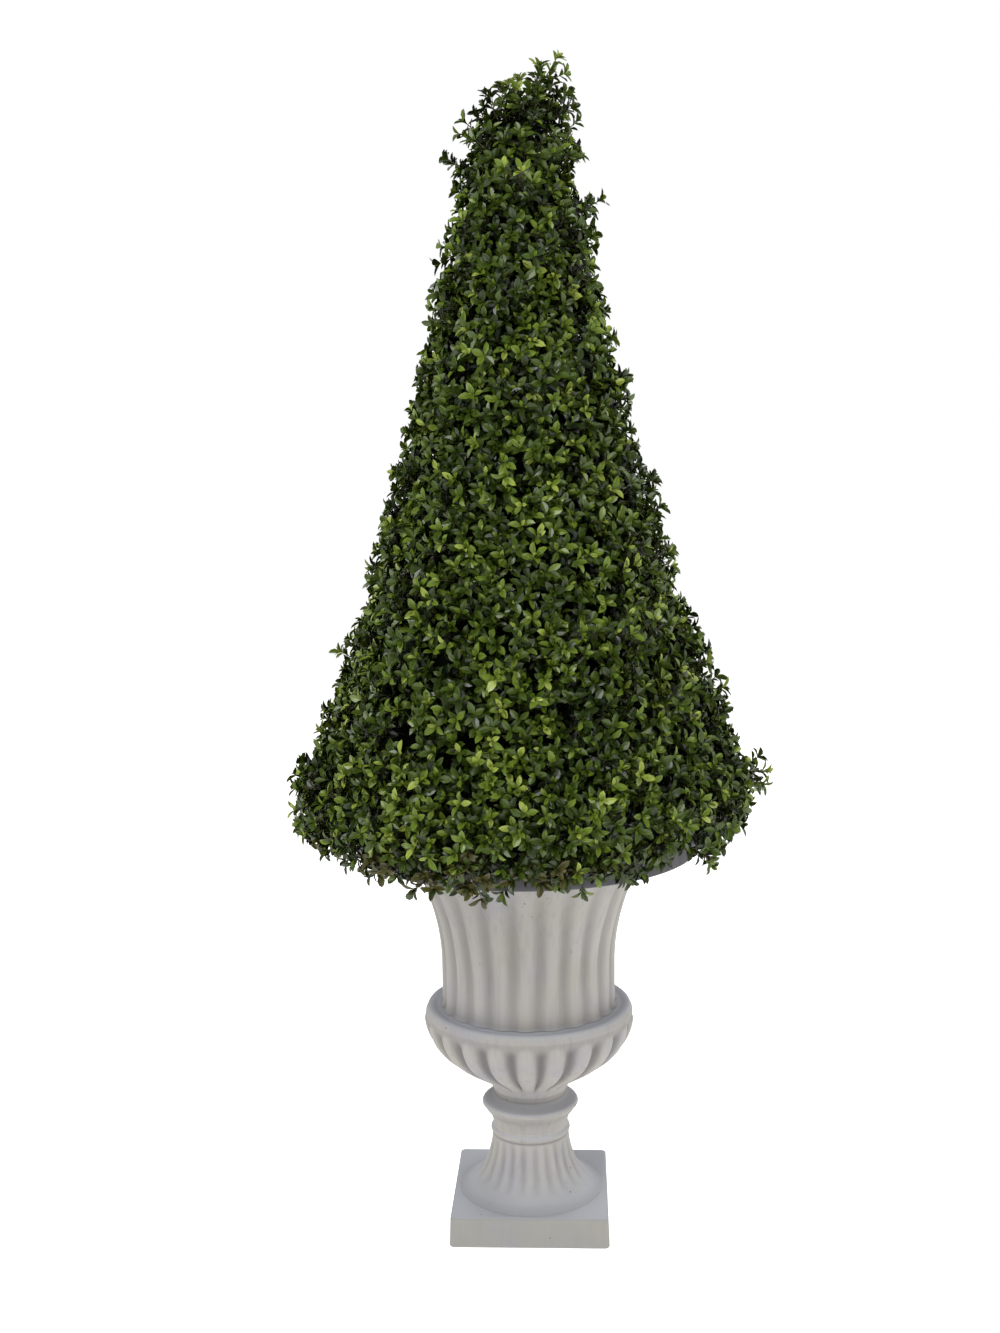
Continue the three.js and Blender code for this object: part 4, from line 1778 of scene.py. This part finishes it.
    def build_cage(self) -> None:
        """Makes the moulded cage deep inside, which the sprays clip into, near black as painted shade for
        the depths of the crown.
        """
        floor = self.base.high + 1
        heights = np.linspace(floor, self.cage_top, self.cage_rows)
        radii = np.maximum(self.radius_at(heights) - self.cage_inset, self.cage_least)
        rim = self.base.radius - self.cage_rim
        radii = np.minimum(radii, np.interp(heights, self.cage_free_heights, [rim, self.cage_free]))
        walls = np.stack([radii, heights], axis=-1)
        rows = np.concatenate([[[6, floor]], walls, [[3, self.cage_top + 6]]])
        narrow = min(radii.min() / 20, 1)

        def cut(angle: Array, height: Array) -> Array:
            """Gives how deep the cage is cut in over its flat foot, and less so the narrower its top."""
            return np.where(height > floor, -self.cage_swell * swelling(angle, height) * narrow, 0)

        rings, _ = turned(rows, self.cage_sides, cut)
        piece = solid_piece("cone_cage", rings, crease=60)
        place(piece, self.cage_finish.material(), tuple(tier.node for tier in self.tiers))


# ---------------------------------------------------------------------- studio


@dataclass
class Softbox:
    """A large square white lamp: where it stands, its power and its side."""

    name: str
    x: float
    y: float
    z: float
    power: float
    side: float = 1600.0


@dataclass
class Studio:
    """Pale floor, soft lamps and the camera."""

    eye: tuple[float, float, float] = (54.2, -1609.2, 819.5)
    heading: tuple[float, float, float] = (-0.0492, 0.990, -0.1333)
    roll: float = -0.0152
    lens: float = 41.93
    film: float = 36.0
    floor_side: float = 12000.0
    floor_colour: str = "#e0e0e0"
    floor_glow: float = 0.88
    surround_light: float = 0.14
    aim_height: float = 650.0
    lamps: tuple[Softbox, ...] = (
        Softbox("key_softbox", -1800, -2000, 2500, 71),
        Softbox("fill_softbox", 2100, -1600, 1500, 32),
        Softbox("back_softbox", 300, 2300, 2200, 40),
        Softbox("right_softbox", 2400, 300, 1500, 17),
        Softbox("left_softbox", -2400, 300, 1500, 8),
    )

    def build(self) -> None:
        """Sets up the camera, the floor, the lamps and the surroundings."""
        self.build_camera()
        self.build_floor()
        self.build_lamps()
        self.build_surroundings()

    def build_camera(self) -> None:
        """Places the camera a little to the right, looking slightly down."""
        data = bpy.data.cameras.new("camera")
        data.sensor_fit = "VERTICAL"
        data.sensor_height = self.film
        data.lens = self.lens
        data.clip_start, data.clip_end = 0.05, 60
        camera = bpy.data.objects.new("camera", data)
        forward = Vector(self.heading).normalized()
        level = forward.cross(Vector(UP)).normalized()
        upright = level.cross(forward)
        right = level * math.cos(self.roll) + upright * math.sin(self.roll)
        turned_to = Matrix((right, right.cross(forward), -forward)).transposed().to_4x4()
        camera.matrix_world = Matrix.Translation(Vector(self.eye) * MM) @ turned_to
        bpy.context.scene.collection.objects.link(camera)
        bpy.context.scene.camera = camera

    def build_floor(self) -> None:
        """Lays a broad pale floor of lit acrylic, white enough to lose the edge of the surroundings."""
        half = self.floor_side / 2 * MM
        mesh = bpy.data.meshes.new("floor")
        corners = [(-half, -half, 0), (half, -half, 0), (half, half, 0), (-half, half, 0)]
        mesh.from_pydata(corners, [], [(0, 1, 2, 3)])
        floor = bpy.data.objects.new("floor", mesh)
        material, _, shader = new_material("lit_acrylic_floor", ior=1.5, roughness=0.9)
        shader.inputs["Base Color"].default_value = linear(self.floor_colour)
        shader.inputs["Emission Color"].default_value = linear("#ffffff")
        shader.inputs["Emission Strength"].default_value = self.floor_glow
        mesh.materials.append(material)
        bpy.context.scene.collection.objects.link(floor)

    def build_lamps(self) -> None:
        """Hangs the softboxes, each aimed at the middle of the plant."""
        for lamp in self.lamps:
            data = bpy.data.lights.new(lamp.name, "AREA")
            data.size = lamp.side * MM
            data.energy = lamp.power
            light = bpy.data.objects.new(lamp.name, data)
            light.location = Vector((lamp.x, lamp.y, lamp.z)) * MM
            aim = Vector((0, 0, self.aim_height * MM)) - light.location
            light.rotation_euler = aim.to_track_quat("-Z", "Y").to_euler()
            bpy.context.scene.collection.objects.link(light)

    def build_surroundings(self) -> None:
        """Surrounds the plant with an even white that is bright to look at and gentle as a light."""
        world = bpy.data.worlds.new("white_surroundings")
        bpy.context.scene.world = world
        world.use_nodes = True
        tree = world.node_tree
        tree.nodes.clear()
        white = linear("#ffffff")
        seen, lit = (
            add(tree, "ShaderNodeBackground", {"Color": white, "Strength": strength}).outputs["Background"]
            for strength in (1.0, self.surround_light)
        )
        which = add(tree, "ShaderNodeLightPath").outputs["Is Camera Ray"]
        both = add(tree, "ShaderNodeMixShader", links={0: which, 1: lit, 2: seen})
        add(tree, "ShaderNodeOutputWorld", links={"Surface": both.outputs["Shader"]})
        bpy.context.scene.view_settings.view_transform = "Standard"


def main() -> None:
    """Builds the studio, then the urn, the base, the pole and the foliage."""
    logging.basicConfig(level=logging.INFO, format="%(name)s: %(message)s")
    Studio().build()
    Urn().build()
    ConeBase().build()
    Stem().build()
    Crown().build()


if __name__ == "__main__":
    main()
